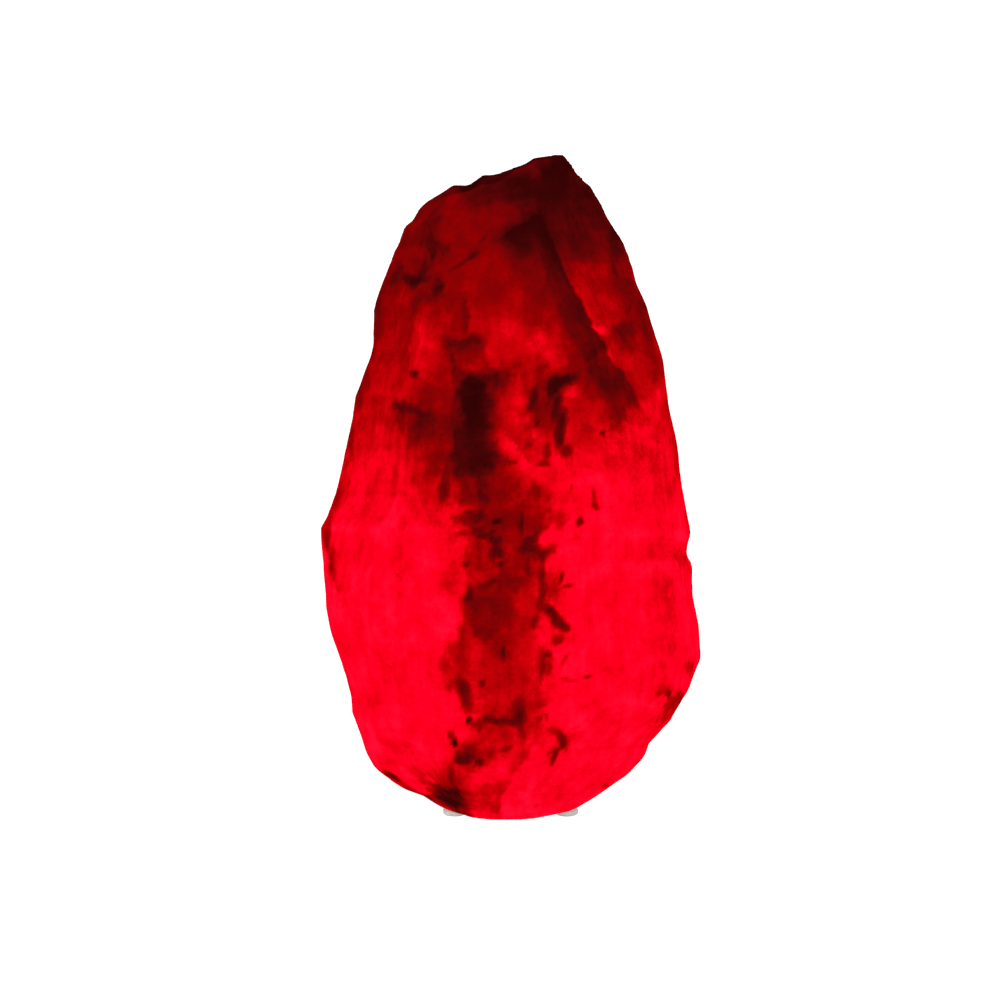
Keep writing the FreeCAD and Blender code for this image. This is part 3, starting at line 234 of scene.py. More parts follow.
# each, in pixels: from the left, from the top, half width, half height, then its turn in degrees,
# and how much it darkens or, over 0, lights
PHOTO_CLOUDS = {
    "top, dim and cloudy": [
        (562, 190, 46, 34, 0, -0.42), (535, 205, 22, 16, 20, -0.2), (547, 183, 7, 6, 0, -0.3),
        (566, 193, 6, 8, 0, -0.4), (505, 188, 18, 12, 0, -0.18), (577, 238, 24, 24, 0, -0.3),
        (600, 215, 10, 30, 25, -0.12), (437, 257, 13, 10, 0, -0.25), (432, 232, 12, 22, -35, -0.12),
        (448, 222, 14, 10, 0, 0.06), (400, 250, 12, 16, -30, 0.14), (475, 235, 18, 16, 0, 0.08),
    ],
    "dark bands at the left": [
        (398, 285, 28, 8, 0, -0.5), (413, 286, 15, 5, 0, -0.35), (445, 296, 9, 7, -20, -0.4),
        (428, 307, 18, 7, 20, -0.25), (379, 292, 6, 20, -10, -0.35), (474, 262, 8, 3.5, 30, -0.3),
        (461, 272, 12, 3, 35, -0.2), (483, 247, 8, 2, 35, -0.2), (377, 318, 6, 14, -5, -0.25),
        (462, 350, 17, 9, 0, -0.22), (448, 345, 8, 5, 0, -0.15), (411, 411, 12, 7, -10, -0.5),
        (404, 406, 6, 6, 0, -0.3), (424, 420, 10, 6, 0, -0.2), (417, 378, 4, 4, 0, -0.7),
        (404, 523, 5, 8, 0, -0.16), (414, 505, 5, 10, 0, -0.1), (427, 478, 8, 20, 0, -0.12),
    ],
    "bright dome and its patches": [
        (522, 345, 44, 18, -14, 0.22), (506, 322, 28, 20, 0, 0.12), (545, 358, 22, 9, -20, 0.12),
        (428, 355, 12, 26, 10, 0.16), (590, 300, 20, 32, 0, 0.16), (600, 335, 8, 5, 0, 0.3),
        (590, 285, 10, 12, 0, 0.06), (575, 398, 16, 10, 20, 0.2), (470, 372, 10, 5, 10, 0.1),
        (395, 345, 16, 24, 0, 0.06),
    ],
    # painted shade under the long ridge
    "under the long ridge": [
        (570, 330, 16, 26, -25, -0.12), (590, 372, 26, 22, -40, -0.28),
        (600, 385, 20, 18, 0, -0.16), (614, 418, 12, 18, 0, -0.3), (602, 430, 18, 6, -20, -0.12),
        (628, 405, 8, 16, -20, -0.16), (620, 329, 9, 13, -10, -0.3), (640, 306, 11, 18, -20, -0.6),
        (646, 330, 12, 26, -10, -0.4), (633, 300, 14, 30, -15, -0.15), (655, 365, 7, 20, -10, -0.2),
        (613, 273, 3, 9, 20, -0.35), (622, 350, 10, 8, 0, -0.12), (596, 355, 14, 4, 35, -0.18),
    ],
    "dark column": [
        (476, 412, 11, 32, 0, -1), (470, 392, 9, 14, 25, -0.5), (482, 440, 14, 40, 0, -0.75),
        (462, 440, 12, 36, 0, -0.5), (497, 425, 18, 30, 0, -0.22), (478, 470, 22, 24, 0, -0.6),
        (463, 470, 18, 14, 0, -0.3), (446, 490, 5, 13, 0, -0.5), (464, 495, 8, 12, 20, -0.35),
        (480, 493, 7, 14, 0, -0.45), (500, 480, 22, 20, 0, -0.35), (440, 465, 8, 10, 0, -0.25),
        (492, 455, 5, 4, 0, -0.4), (506, 463, 8, 3, 0, -0.3), (497, 378, 6, 5, 0, -0.3),
        (505, 385, 8, 12, -30, -0.25), (524, 383, 4, 10, 15, -0.2), (456, 372, 3, 14, 5, -0.4),
        (486, 385, 28, 12, -10, -0.25), (510, 510, 40, 24, 0, -0.42), (495, 530, 34, 20, 0, -0.25),
        (480, 400, 14, 3, 10, -0.2),
    ],
    "the hooked crack": [
        (562, 383, 14, 5, 5, -0.85), (552, 391, 6, 11, -10, -0.75), (555, 410, 5, 15, -12, -0.6),
        (559, 432, 5, 20, -10, -0.85), (564, 452, 5, 8, -20, -0.5), (548, 405, 16, 34, -5, -0.35),
        (533, 404, 4, 14, -15, -0.6), (537, 420, 6, 14, -20, -0.35), (545, 455, 4, 10, 0, -0.45),
        (541, 466, 7, 3, 0, -0.4), (549, 398, 3, 20, -15, -0.25), (537, 427, 2, 1.8, 0, -0.6),
        (598, 436, 1.8, 1.8, 0, -0.7), (527, 449, 9, 6, -30, -0.2),
    ],
    "blobs half way": [
        (478, 519, 10, 8, -20, -0.75), (499, 521, 4.5, 3, 0, -0.9), (487, 537, 13, 6, -10, -0.95),
        (496, 548, 6, 7, 0, -0.7), (500, 538, 4, 3, 0, -0.5), (464, 533, 8, 3, 0, -0.35),
        (472, 527, 6, 12, 30, -0.35), (535, 535, 7, 14, -20, -0.6), (546, 552, 8, 9, -40, -0.65),
        (529, 547, 10, 5, 0, -0.35), (521, 524, 2.5, 12, 0, -0.5), (537, 520, 12, 10, 0, -0.2),
        (577, 522, 3.5, 5, 0, -0.7), (592, 498, 3, 13, 20, -0.4), (594, 505, 5, 4, 0, -0.25),
        (558, 523, 5, 10, 0, -0.2), (532, 500, 14, 10, 0, -0.2), (570, 487, 2, 3, 0, -0.25),
        (573, 538, 6, 3, 0, -0.15),
    ],
    "inclusions low in the middle": [
        (495, 560, 34, 20, 0, -0.25), (493, 640, 46, 92, 0, -0.2), (490, 603, 22, 26, 0, -0.4),
        (493, 585, 17, 6, 8, -0.55), (513, 575, 9, 10, 0, -0.4), (487, 628, 11, 11, 0, -0.3),
        (470, 591, 4, 11, 0, -0.5), (476, 605, 8, 14, 0, -0.2), (501, 562, 4, 3, 0, -0.8),
        (465, 561, 4, 3, 0, -0.5), (528, 566, 3, 10, 0, -0.35), (540, 582, 4, 26, -3, -0.5),
        (545, 590, 9, 14, 0, -0.25), (558, 577, 2.5, 6, -20, -0.6), (565, 584, 5, 2.2, 10, -0.45),
        (549, 607, 9, 4, -35, -0.7), (557, 617, 7, 5, -50, -0.7), (563, 623, 6, 4, -30, -0.7),
        (557, 634, 7, 5, 50, -0.45), (546, 650, 4, 4, 0, -0.7), (535, 618, 3, 8, -10, -0.5),
        (540, 660, 4, 16, 0, -0.45), (547, 662, 3, 8, 0, -0.25), (563, 655, 2, 9, -15, -0.35),
        (503, 647, 3, 8, 5, -0.55), (458, 640, 10, 34, 0, -0.2), (450, 600, 8, 30, 10, -0.12),
    ],
    "spots and streaks low down": [
        (466, 690, 5, 18, 18, -0.5), (461, 682, 6, 10, 0, -0.3), (470.7, 714, 3, 3.5, 0, -1.6),
        (482, 679, 3, 2.6, 0, -0.7), (489, 716, 9, 8, 0, -0.6), (505, 716, 16, 4, 0, -0.4),
        (515, 712, 10, 6, 0, -0.4), (522, 712, 5, 10, 0, -0.55), (523, 728, 5, 8, 0, -0.3),
        (518, 700, 5, 14, -10, -0.3), (455, 738, 2.6, 3.2, 0, -1.2), (453, 733, 4, 10, 30, -0.5),
        (465, 748, 9, 6, -30, -0.55), (480, 756, 4, 4, 0, -0.65), (452, 768, 4, 10, 0, -0.4),
        (470, 765, 8, 6, 0, -0.15), (505, 743, 8, 3, 25, -0.3), (494, 728, 20, 10, 0, -0.2),
        (584, 672, 4, 2, 0, -0.5), (566, 675, 9, 2.5, -5, -0.3), (540, 712, 3, 3, 0, -0.35),
        (547, 710, 2, 6, 10, -0.25), (580, 703, 8, 5, 20, -0.08), (607, 784, 3, 3, 0, -0.35),
        (537, 803, 3, 2, 0, -0.25), (666, 692, 3, 5, 0, -0.7),
    ],
    "the foot of the stone": [
        (451, 797, 9, 8, 0, -0.95), (452, 797, 20, 20, 0, -0.5), (440, 800, 14, 14, 0, -0.3),
        (488, 785, 16, 10, 20, -0.22), (462, 806, 14, 8, 0, -0.25), (495, 806, 8, 12, 0, -0.12),
        (391, 778, 11, 4, -38, -0.7), (412, 795, 14, 5, -28, -0.4), (430, 806, 9, 5, -30, -0.3),
        (427, 775, 16, 10, -20, -0.2), (560, 733, 5, 11, 25, -0.5), (553, 752, 3.5, 9, -25, -0.65),
        (549, 724, 4, 6, 35, -0.3), (669, 716, 14, 10, 45, -0.35), (682, 702, 5, 16, 15, -0.35),
        (690, 668, 5, 12, 10, -0.2), (655, 742, 12, 4, 45, -0.25), (640, 765, 14, 3, 40, -0.2),
    ],
    "chips at the edges": [
        (686, 566, 6, 9, 0, -0.2), (329, 535, 4, 14, -5, -0.4), (333, 570, 3, 22, -5, -0.2),
        (346, 705, 3, 14, -5, -0.15), (350, 430, 3, 30, 5, -0.25), (357, 398, 7, 10, 20, -0.45),
        (366, 377, 5, 14, 10, -0.25), (380, 400, 10, 5, 0, -0.12), (392, 290, 10, 24, 0, -0.1),
    ],
}
# each, in pixels: from one spot to another, then how far it fades to its left-hand side, or to its
# right-hand side under 0. It is sharp on the line. Last, how much it darkens or, over 0, lights
PHOTO_CREASES = {
    # painted shade beside the ridge, and painted light on the facets
    "ridge and facets": [
        (560, 272, 538, 216, 26, -0.5), (590, 331, 560, 272, 24, -0.55),
        (634, 400, 590, 331, 34, -0.5), (540, 216, 501, 245, 30, -0.5),
        (612, 268, 566, 267, 34, 0.2), (566, 268, 590, 331, 30, 0.14),
        (604, 342, 588, 331, -8, 0.3), (455, 200, 441, 232, 26, 0.16),
        (441, 232, 446, 249, 20, 0.1), (436, 269, 421, 248, -14, -0.2),
        (470, 303, 468, 337, -14, -0.5), (470, 303, 452, 328, -10, 0.12),
        (416, 322, 411, 380, 26, 0.2), (445, 352, 474, 338, -14, -0.3),
        (474, 338, 494, 372, -14, -0.18), (462, 384, 506, 378, -22, -0.25),
    ],
    "flakes in the middle": [
        (504, 430, 529, 468, -18, 0.28), (512, 407, 524, 413, 10, 0.2),
        (524, 413, 536, 445, 8, 0.22), (578, 424, 592, 432, -10, -0.22),
        (566, 386, 562, 400, 14, 0.2), (559, 482, 602, 470, -26, 0.16),
        (455, 430, 456, 458, 14, -0.3), (462, 384, 466, 430, 10, -0.3),
        (440, 505, 447, 458, -12, -0.2), (556, 430, 572, 470, 12, 0.16),
        (467, 588, 459, 640, 12, -0.25), (566, 633, 582, 606, 12, 0.08),
        (592, 620, 577, 645, 14, 0.06),
    ],
    "the pink facet and the tongue": [
        (537, 735, 519, 765, -14, -0.2), (519, 765, 501, 792, -16, -0.2),
        (501, 792, 501, 818, -12, -0.2), (545, 752, 568, 740, 10, -0.3),
        (563, 741, 549, 716, -9, -0.35), (320, 528, 331, 560, 7, -0.5),
        (331, 560, 338, 592, 6, -0.35), (622, 700, 608, 780, -12, -0.06),
    ],
}
# what lies deeper, behind all these, in millimetres: across, up, half width, half height
DEEP_CLOUDS = [
    (-24.5, 127, 13, 26, 0, -0.25), (0, 57, 14, 34, 0, -0.17), (7, 34, 7, 7, 0, -0.32),
    (-14, 20, 5, 5, 0, -0.6), (-21, 11, 8, 8, 0, -0.25), (56, 37, 3.5, 8, 20, -0.35),
    (-14, 87, 4.5, 7, 0, -0.35), (7, 86, 4.5, 7, 0, -0.3), (-32, 132, 9, 7, 0, -0.3),
    (-28, 181, 6, 7, 0, -0.22), (-10, 212, 15, 7, 0, -0.22), (6, 196, 10, 9, 0, -0.15),
    (28, 178, 5, 6, 0, -0.16), (-21, 63, 5, 10, 0, 0.3), (35, 153, 6, 6, 0, 0.24),
    (49, 139, 5, 6, 0, 0.2), (14, 153, 5, 4, 0, 0.18), (52.5, 70, 3, 26, 0, -0.06),
]
CLOUDS = DEEP_CLOUDS + [
    (*in_plane(left, top), wide * MM_A_PIXEL, high * MM_A_PIXEL, turn, strength)
    for group in PHOTO_CLOUDS.values() for left, top, wide, high, turn, strength in group
]
CREASES = [
    (*in_plane(left, top), *in_plane(to_left, to_top), fade * MM_A_PIXEL, strength)
    for group in PHOTO_CREASES.values() for left, top, to_left, to_top, fade, strength in group
]


def clouded(at, clouds, core, rim):
    """How much clouds darken or light each spot of the view. core and rim are where a cloud
    starts and ends to thin out, as shares of its size."""
    tone = np.zeros(len(at))
    for across, up, half_wide, half_high, turn, strength in clouds:
        turn = math.radians(turn)
        off, over = at[:, 0] - across, at[:, 1] - up
        along = (off * math.cos(turn) + over * math.sin(turn)) / half_wide
        upright = (over * math.cos(turn) - off * math.sin(turn)) / half_high
        tone += strength * (1 - smooth(np.hypot(along, upright), core, rim))
    return tone


def creased(at, creases):
    """How much the painted shade and light along creases darken or light each spot of the view."""
    tone = np.zeros(len(at))
    for across, up, to_across, to_up, fade, strength in creases:
        line = Vector((to_across - across, to_up - up))
        ahead = line.normalized()
        off, over = at[:, 0] - (across + to_across) / 2, at[:, 1] - (up + to_up) / 2
        along = np.abs(off * ahead.x + over * ahead.y) / (line.length / 2)
        beside = (over * ahead.x - off * ahead.y) * math.copysign(1, fade)
        on_line = (1 - smooth(along, 0.6, 1.4)) * smooth(beside, -0.5, 0.5)
        tone += strength * on_line * np.exp(-np.maximum(beside, 0) / (0.7 * abs(fade)))
    return tone


DARKER, DARKEST = 1.5, 2.1                # how much all that darkens is strengthened, and its end
view = np.column_stack((spots[:, 0], plane_height(spots)))
WANDER_SEED = 1                          # noise_vector goes by the clock without one
noise.seed_set(WANDER_SEED)
wander = np.array([                      # the clouds' edges wander
    0.8 * noise.noise_vector(spot * 0.09) + 0.5 * noise.noise_vector(spot * 0.24)
    + 0.3 * noise.noise_vector(spot * 0.6) for spot in map(Vector, spots)
])[:, [0, 2]]
SMALL_CLOUD = 2                          # millimetres, half as wide or high
large = [cloud for cloud in CLOUDS if min(cloud[2:4]) > SMALL_CLOUD]
small = [cloud for cloud in CLOUDS if min(cloud[2:4]) <= SMALL_CLOUD]
# painted light and shade: these tones darken and light the painted glow; the darks stand for inclusions
# that hold back the bulb's light and for painted shade beside ridges, the lights for painted bright
# patches and lit facets
tone = clouded(view + 5.0 * wander, large, 0.1, 1.55)
tone += clouded(view + 1.2 * wander, small, 0.3, 1.4)
tone += creased(view + 1.6 * wander, CREASES)
tone = np.where(tone < 0, DARKEST * (np.exp(np.minimum(tone, 0) * DARKER / DARKEST) - 1), tone)
tone_layer = stone.data.attributes.new("inclusions", "FLOAT", "POINT")
tone_layer.data.foreach_set("value", tone.astype(np.float32))

class Wire:
    """A value in a material. Arithmetic on it adds Math nodes."""

    def __init__(self, finish, socket):
        self.finish, self.socket = finish, socket

    def math(self, operation, *values):
        return self.finish.node("Math", {"operation": operation}, dict(enumerate(values)))

    def __add__(self, other):
        return self.math("ADD", self, other)

    def __sub__(self, other):
        return self.math("SUBTRACT", self, other)

    def __rsub__(self, other):
        return self.math("SUBTRACT", other, self)

    def __mul__(self, other):
        return self.math("MULTIPLY", self, other)

    def __neg__(self):
        return self * -1

    def __abs__(self):
        return self.math("ABSOLUTE", self)

    __radd__ = __add__
    __rmul__ = __mul__

    def between(self, low, high, start=0.0, end=1.0):
        """start below low, end above high, with a soft change between them."""
        return self.finish.node(
            "MapRange", {"interpolation_type": "SMOOTHSTEP"},
            {"Value": self, "From Min": low, "From Max": high, "To Min": start, "To Max": end},
        )


class Finish:
    """One material: a Principled shader, and a method that adds any other node."""

    def __init__(self, name, **plain):
        self.material = bpy.data.materials.new(name)
        self.material.use_nodes = True
        self.tree = self.material.node_tree
        self.shader = self.tree.nodes["Principled BSDF"]
        self.place = self.node("TexCoord", out="Object")
        self.give(**plain)

    def node(self, kind, settings=None, inputs=None, out=0):
        """A node of a kind: its settings first, then values or links for its sockets."""
        made = self.tree.nodes.new("ShaderNode" + kind)
        for field, value in (settings or {}).items():
            if field == "stops":
                band = made.color_ramp.elements
                while len(band) < len(value):
                    band.new(1.0)
                for element, (spot, colour) in zip(band, value):
                    element.position, element.color = spot, (*colour, 1.0)
            else:
                setattr(made, field, value)
        for key, value in (inputs or {}).items():
            self.fill(made.inputs[key], value)
        return Wire(self, made.outputs[out])

    def fill(self, socket, value):
        if isinstance(value, Wire):
            self.tree.links.new(value.socket, socket)
        elif socket.type == "RGBA" and len(value) == 3:
            socket.default_value = (*value, 1.0)
        else:
            socket.default_value = value

    def give(self, **values):
        """Values or links for the Principled shader, with _ for a space in a socket's name."""
        for name, value in values.items():
            self.fill(self.shader.inputs[name.replace("_", " ")], value)

    def noise(self, scale, detail=2.0, at=None, rough=0.5, out=0):
        sockets = {"Vector": at or self.place, "Scale": scale, "Detail": detail, "Roughness": rough}
        return self.node("TexNoise", None, sockets, out)

    def stretched(self, scale, at=None):
        """Coordinates scaled by a different number along each axis."""
        return self.node("Mapping", None, {"Vector": at or self.place, "Scale": scale})

    def axis(self, number, at=None):
        """One coordinate: 0, 1 or 2."""
        return self.node("SeparateXYZ", None, {0: at or self.place}, out=number)

    def from_axis(self):
        """Distance from the object's upright axis."""
        return self.node("VectorMath", {"operation": "LENGTH"}, {0: self.stretched((1, 1, 0))}, out=1)

    def shifted(self, by, size, at):
        """Coordinates moved by a vector times a size."""
        sockets = {0: by, 1: (size,) * 3, 2: at}
        return self.node("VectorMath", {"operation": "MULTIPLY_ADD"}, sockets)

    def either(self, share, first, second):
        """A number between two others."""
        sockets = {"Factor": share, 2: first, 3: second}
        return self.node("Mix", {"data_type": "FLOAT"}, sockets)

    def mix(self, share, first, second):
        """A colour between two others."""
        sockets = {"Factor": share, 6: first, 7: second}
        return self.node("Mix", {"data_type": "RGBA"}, sockets, out=2)

    def bump(self, height, depth, strength=1.0):
        sockets = {"Height": height, "Distance": depth, "Strength": strength}
        self.give(Normal=self.node("Bump", None, sockets))


# Painted light: the salt is no lamp. The bulb's light through it is painted on its surface as emission,
# and a dimmer copy of that painted glow is its base colour.
salt = Finish("rock_salt_painted_glow", Roughness=0.6, Specular_IOR_Level=0.0)
salt.material.cycles.emission_sampling = "NONE"
plane = salt.node("Mapping", None, {
    "Vector": salt.place, "Scale": (1000, 1000, 1000), "Rotation": (LOOK_DOWN, 0, 0),
})
torn_by = salt.node("VectorMath", {"operation": "SUBTRACT"}, {
    0: salt.noise(0.22, 4.0, plane, out=1), 1: (0.5, 0.5, 0.5),
})
torn = salt.shifted(torn_by, 7, plane)
shade = salt.node("Attribute", {"attribute_name": "inclusions"}, None, out=2)

rise = salt.axis(2)
front = salt.axis(1).between(-0.012, 0.012, 1, 0)
# elsewhere, clouds and veins of the same kind without chosen places
upright = salt.stretched((1, 1, 0.45))
veins = abs(salt.noise(22, 5, upright, 0.55) - 0.5).between(0.0, 0.06, -0.5, 0.0)
elsewhere = veins + salt.noise(17, 6, upright, 0.6).between(0.36, 0.6, -0.55, 0.06)
shade = salt.either(front, elsewhere, shade)

# painted light: the glow is painted brightest low down, where the bulb sits, and dimmer towards the top
LAMP_HIGH = 230                          # millimetres
BRIGHT_BY_HEIGHT = [                     # share of the lamp's height, then how brightly it glows
    (0.0, 1.1), (0.42, 1.08), (0.49, 0.98), (0.55, 0.86), (0.62, 0.74), (0.7, 0.66), (0.78, 0.57),
    (0.87, 0.46), (1.0, 0.36),
]
glow_up = salt.node(
    "ValToRGB", {"stops": [(share, (bright,) * 3) for share, bright in BRIGHT_BY_HEIGHT]},
    {"Fac": salt.axis(2, torn) * (1 / LAMP_HIGH)},
)
mottle = salt.noise(90, 6, rough=0.62).between(0.25, 0.75, -0.16, 0.14)
streaks = salt.noise(1.0, 3, salt.stretched((300, 300, 14))).between(0.3, 0.7, -0.05, 0.05)
grain = salt.noise(700, 3).between(0.2, 0.8, -0.05, 0.05)
standing_out = salt.node("Attribute", {"attribute_name": "proud"}, None, out=2)
# painted shade in the hollows and painted light on what stands out
painted_hollow_shade_and_edge_light = standing_out.between(-0.25, 0.25, -0.18, 0.12)
upset = salt.shifted(torn_by, 0.02, salt.stretched((1, 1, 0.6)))
cells = salt.node("TexVoronoi", {"feature": "DISTANCE_TO_EDGE"}, {"Vector": upset, "Scale": 52.0})
cracks = cells.between(0.0, 0.025, -0.16, 0.0) * salt.noise(60, 3).between(0.48, 0.62)
dark = shade + cracks + mottle * (1.0 - shade * 0.7) + streaks + grain + painted_hollow_shade_and_edge_light
level = glow_up * salt.node("Math", {"operation": "EXPONENT"}, {0: dark})

# the bored and recessed walls, round the bulb, get a bright and plain painted glow, with the rings that
# the drill left
inside = salt.from_axis().between(0.0225, 0.0255, 1, 0)
bored = inside * rise.between(0.1255, 0.1275, 1, 0) * rise.between(0.0, 0.002)
rings = salt.node("TexWave", {"bands_direction": "Z"}, {
    "Vector": salt.place, "Scale": 110.0, "Distortion": 1.5, "Detail": 2.0,
})
level = salt.either(bored, level, 1.05 + mottle + rings * 0.08)
BRIGHTEST = 1.3                          # the level at the glow colours' end
glow = salt.node("ValToRGB", {"stops": [
    (0.0, (0.004, 0.0002, 0.0002)), (0.24 / BRIGHTEST, (0.047, 0.0013, 0.0014)),
    (0.35 / BRIGHTEST, (0.1, 0.0014, 0.002)), (0.58 / BRIGHTEST, (0.296, 0.0002, 0.0008)),
    (0.81 / BRIGHTEST, (0.62, 0.0, 0.0026)), (0.96 / BRIGHTEST, (0.91, 0.0, 0.009)),
    (1.06 / BRIGHTEST, (1.0, 0.0, 0.016)), (1.0, (1.0, 0.004, 0.034)),
]}, {"Fac": level * (1 / BRIGHTEST)})
GLOW_SHARE, PAINTED_GLOW_IN_BASE_SHARE = 0.72, 0.34      # of the painted glow's colour: given off as emission, and painted into the base colour
black = (0.0, 0.0, 0.0)
salt.give(
    Emission_Color=salt.mix(GLOW_SHARE, black, glow), Emission_Strength=1.0,
    Base_Color=salt.mix(PAINTED_GLOW_IN_BASE_SHARE, black, glow),
)
pits = salt.node("TexVoronoi", {"feature": "F1"}, {
    "Vector": salt.place, "Scale": 420.0, "Randomness": 1.0,
})
drawn = salt.noise(1.0, 3, salt.stretched((420, 420, 40)))
rough_skin = salt.noise(240, 6, rough=0.65) + 0.35 * pits + 0.15 * drawn
salt.bump(rough_skin, 0.0006, 0.55)
stone.data.materials.append(salt.material)
stone.visible_diffuse = False            # the floor stays as pale as in the photograph
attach(stone, "crystal")
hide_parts("salt_crystal")


# --- The felt feet -------------------------------------------------------------------------------
# Four punched discs of undyed felt, stuck to the sole: matted wool, with greyer hairs in it.

def wear(node, finish):
    """Gives a CAD node's object a material, and leaves its mesh alone."""
    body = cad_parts[node]
    body.material_slots[0].link = "OBJECT"
    body.material_slots[0].material = finish.material


felt = Finish("undyed_felt", Roughness=1.0, Specular_IOR_Level=0.05, Sheen_Weight=0.3)
hairs = felt.noise(1.0, 4, felt.stretched((2600, 900, 1500)), 0.7)
felt.give(Base_Color=felt.mix(hairs.between(0.35, 0.7), (0.66, 0.62, 0.56), (0.92, 0.9, 0.86)))
felt.bump(hairs + 0.5 * felt.noise(5200, 3), 0.0004, 0.8)
for node in ("foot_front_left", "foot_front_right", "foot_back_left", "foot_back_right"):
    wear(node, felt)


# --- The plated steel: cover plate, clip, washer and screws --------------------------------------
# Pressed from zinc-plated sheet. The plate was turned against a pad, which left rings, and the
# clip's arms carry fine draw marks along them. Handling has dulled the plating in patches.

def plated(name, bright, dull, roughness, marks, deep=0.00005):
    """Plated metal with dull patches and fine marks, whose coordinates are marks."""
    made = Finish(name, Metallic=1.0)
    patches = made.noise(160, 5, rough=0.6).between(0.4, 0.68)
    lines = made.noise(1.0, 3, made.stretched(marks))
    made.give(
        Base_Color=made.mix(patches, bright, dull),
        Roughness=patches * 0.16 + lines * 0.14 + roughness,
    )
    made.bump(lines + 0.3 * made.noise(3000, 2), deep, 0.5)
    return made


zinc_plate = Finish("zinc_turned", Metallic=1.0)
rings_at = zinc_plate.node("CombineXYZ", None, {0: zinc_plate.from_axis() * 5200, 1: 0.0, 2: 0.0})
turned = zinc_plate.noise(1.0, 3, rings_at)
dulled = zinc_plate.noise(150, 5, rough=0.6).between(0.42, 0.7)
zinc_plate.give(
    Base_Color=zinc_plate.mix(dulled, (0.66, 0.67, 0.68), (0.42, 0.43, 0.42)),
    Roughness=dulled * 0.2 + turned * 0.12 + 0.2,
)
zinc_plate.bump(turned, 0.00004, 0.5)
wear("cover_plate", zinc_plate)
spring = plated("spring_steel", (0.5, 0.51, 0.53), (0.26, 0.26, 0.28), 0.24, (900, 900, 90))
wear("spring_clip", spring)
zinc = plated("zinc_plated", (0.6, 0.61, 0.6), (0.36, 0.36, 0.34), 0.28, (2200, 2200, 2200))
for node in ("lock_washer", "terminal_screws"):
    wear(node, zinc)
blacked = plated("blacked_steel", (0.09, 0.09, 0.1), (0.04, 0.04, 0.045), 0.38, (2600, 2600, 2600))
wear("cap_screw", blacked)


# --- The brass: nipple, nut, terminals and sleeve ------------------------------------------------
# Turned and rolled brass, left bare, with brown tarnish in its hollows.

brass = plated("bare_brass", (0.83, 0.6, 0.27), (0.46, 0.29, 0.12), 0.2, (300, 300, 4200))
for node in ("nipple", "nipple_nut", "terminal_blocks", "thread_sleeve"):
    wear(node, brass)
bronze = plated("contact_bronze", (0.8, 0.5, 0.32), (0.45, 0.26, 0.16), 0.22, (3000, 600, 600))
for node in ("side_contact", "end_contact"):
    wear(node, bronze)


# --- The holder's mouldings ----------------------------------------------------------------------
# Cap and shell are black thermoplastic with a spark-eroded grain, the bush is softer and smoother,
# and the core is cream heat-proof resin with a few darker grains.

def moulded(name, first, second, roughness, grain):
    """Moulded plastic with cloudy colour and a fine pitted grain."""
    made = Finish(name, IOR=1.5)
    clouds, pitted = made.noise(220, 4), made.noise(grain, 4, rough=0.6)
    made.give(
        Base_Color=made.mix(clouds.between(0.3, 0.7), first, second),
        Roughness=pitted * 0.2 + roughness,
    )
    made.bump(pitted, 0.00006, 0.6)
    return made


black_plastic = moulded("black_thermoplastic", (0.012, 0.012, 0.013), (0.02, 0.02, 0.021), 0.32, 3400)
for node in ("holder_cap", "holder_shell"):
    wear(node, black_plastic)
wear("cord_bush", moulded("soft_bush", (0.03, 0.03, 0.032), (0.045, 0.044, 0.043), 0.45, 1800))
wear("holder_insert", moulded("cream_resin", (0.62, 0.57, 0.46), (0.72, 0.68, 0.57), 0.35, 2600))


# --- The bulb ------------------------------------------------------------------------------------
# A small tubular bulb of clear glass dipped in red lacquer, on a nickel-plated screw cap with a
# black glass bead and a blob of solder. Inside, a glass stem carries the wires and the filament.

nickel = plated("nickel_cap", (0.72, 0.69, 0.64), (0.5, 0.46, 0.4), 0.18, (500, 500, 3600))
wear("bulb_cap", nickel)
solder = plated("solder", (0.62, 0.62, 0.6), (0.4, 0.4, 0.38), 0.36, (1400, 1400, 1400), 0.0002)
wear("bulb_end_contact", solder)
bead = Finish("black_bead", IOR=1.55, Specular_IOR_Level=0.6)
bead.give(
    Base_Color=bead.mix(bead.noise(600, 3), (0.006, 0.006, 0.008), (0.02, 0.018, 0.02)),
    Roughness=bead.noise(900, 3) * 0.2 + 0.08,
)
wear("cap_insulator", bead)

lacquer = Finish("red_lacquered_glass", IOR=1.5, Transmission_Weight=0.7)
runs = lacquer.noise(1.0, 4, lacquer.stretched((260, 260, 90)))
lacquer.give(
    Base_Color=lacquer.mix(runs.between(0.3, 0.7), (0.8, 0.008, 0.012), (0.95, 0.03, 0.02)),
    Roughness=runs * 0.12 + 0.06,
)
RING_HEIGHT = 0.0857                     # the filament's
near_coil = abs(lacquer.axis(2) - RING_HEIGHT).between(0.0, 0.022, 1.0, 0.1) + 0.15 * runs
lit = lacquer.mix(near_coil, (0.12, 0.0, 0.002), (1.0, 0.03, 0.02))
lacquer.give(Emission_Color=lit, Emission_Strength=0.7)
wear("bulb_glass", lacquer)
clear = Finish("clear_glass", IOR=1.5, Transmission_Weight=1.0)
clear.give(
    Base_Color=clear.mix(clear.noise(300, 3), (0.9, 0.93, 0.92), (0.98, 0.99, 0.98)),
    Roughness=clear.noise(800, 2) * 0.06,
)
wear("glass_stem", clear)
leads = plated("nickel_wire", (0.6, 0.58, 0.55), (0.4, 0.38, 0.36), 0.26, (400, 400, 3000))
for node in ("lead_wires", "support_wires"):
    wear(node, leads)

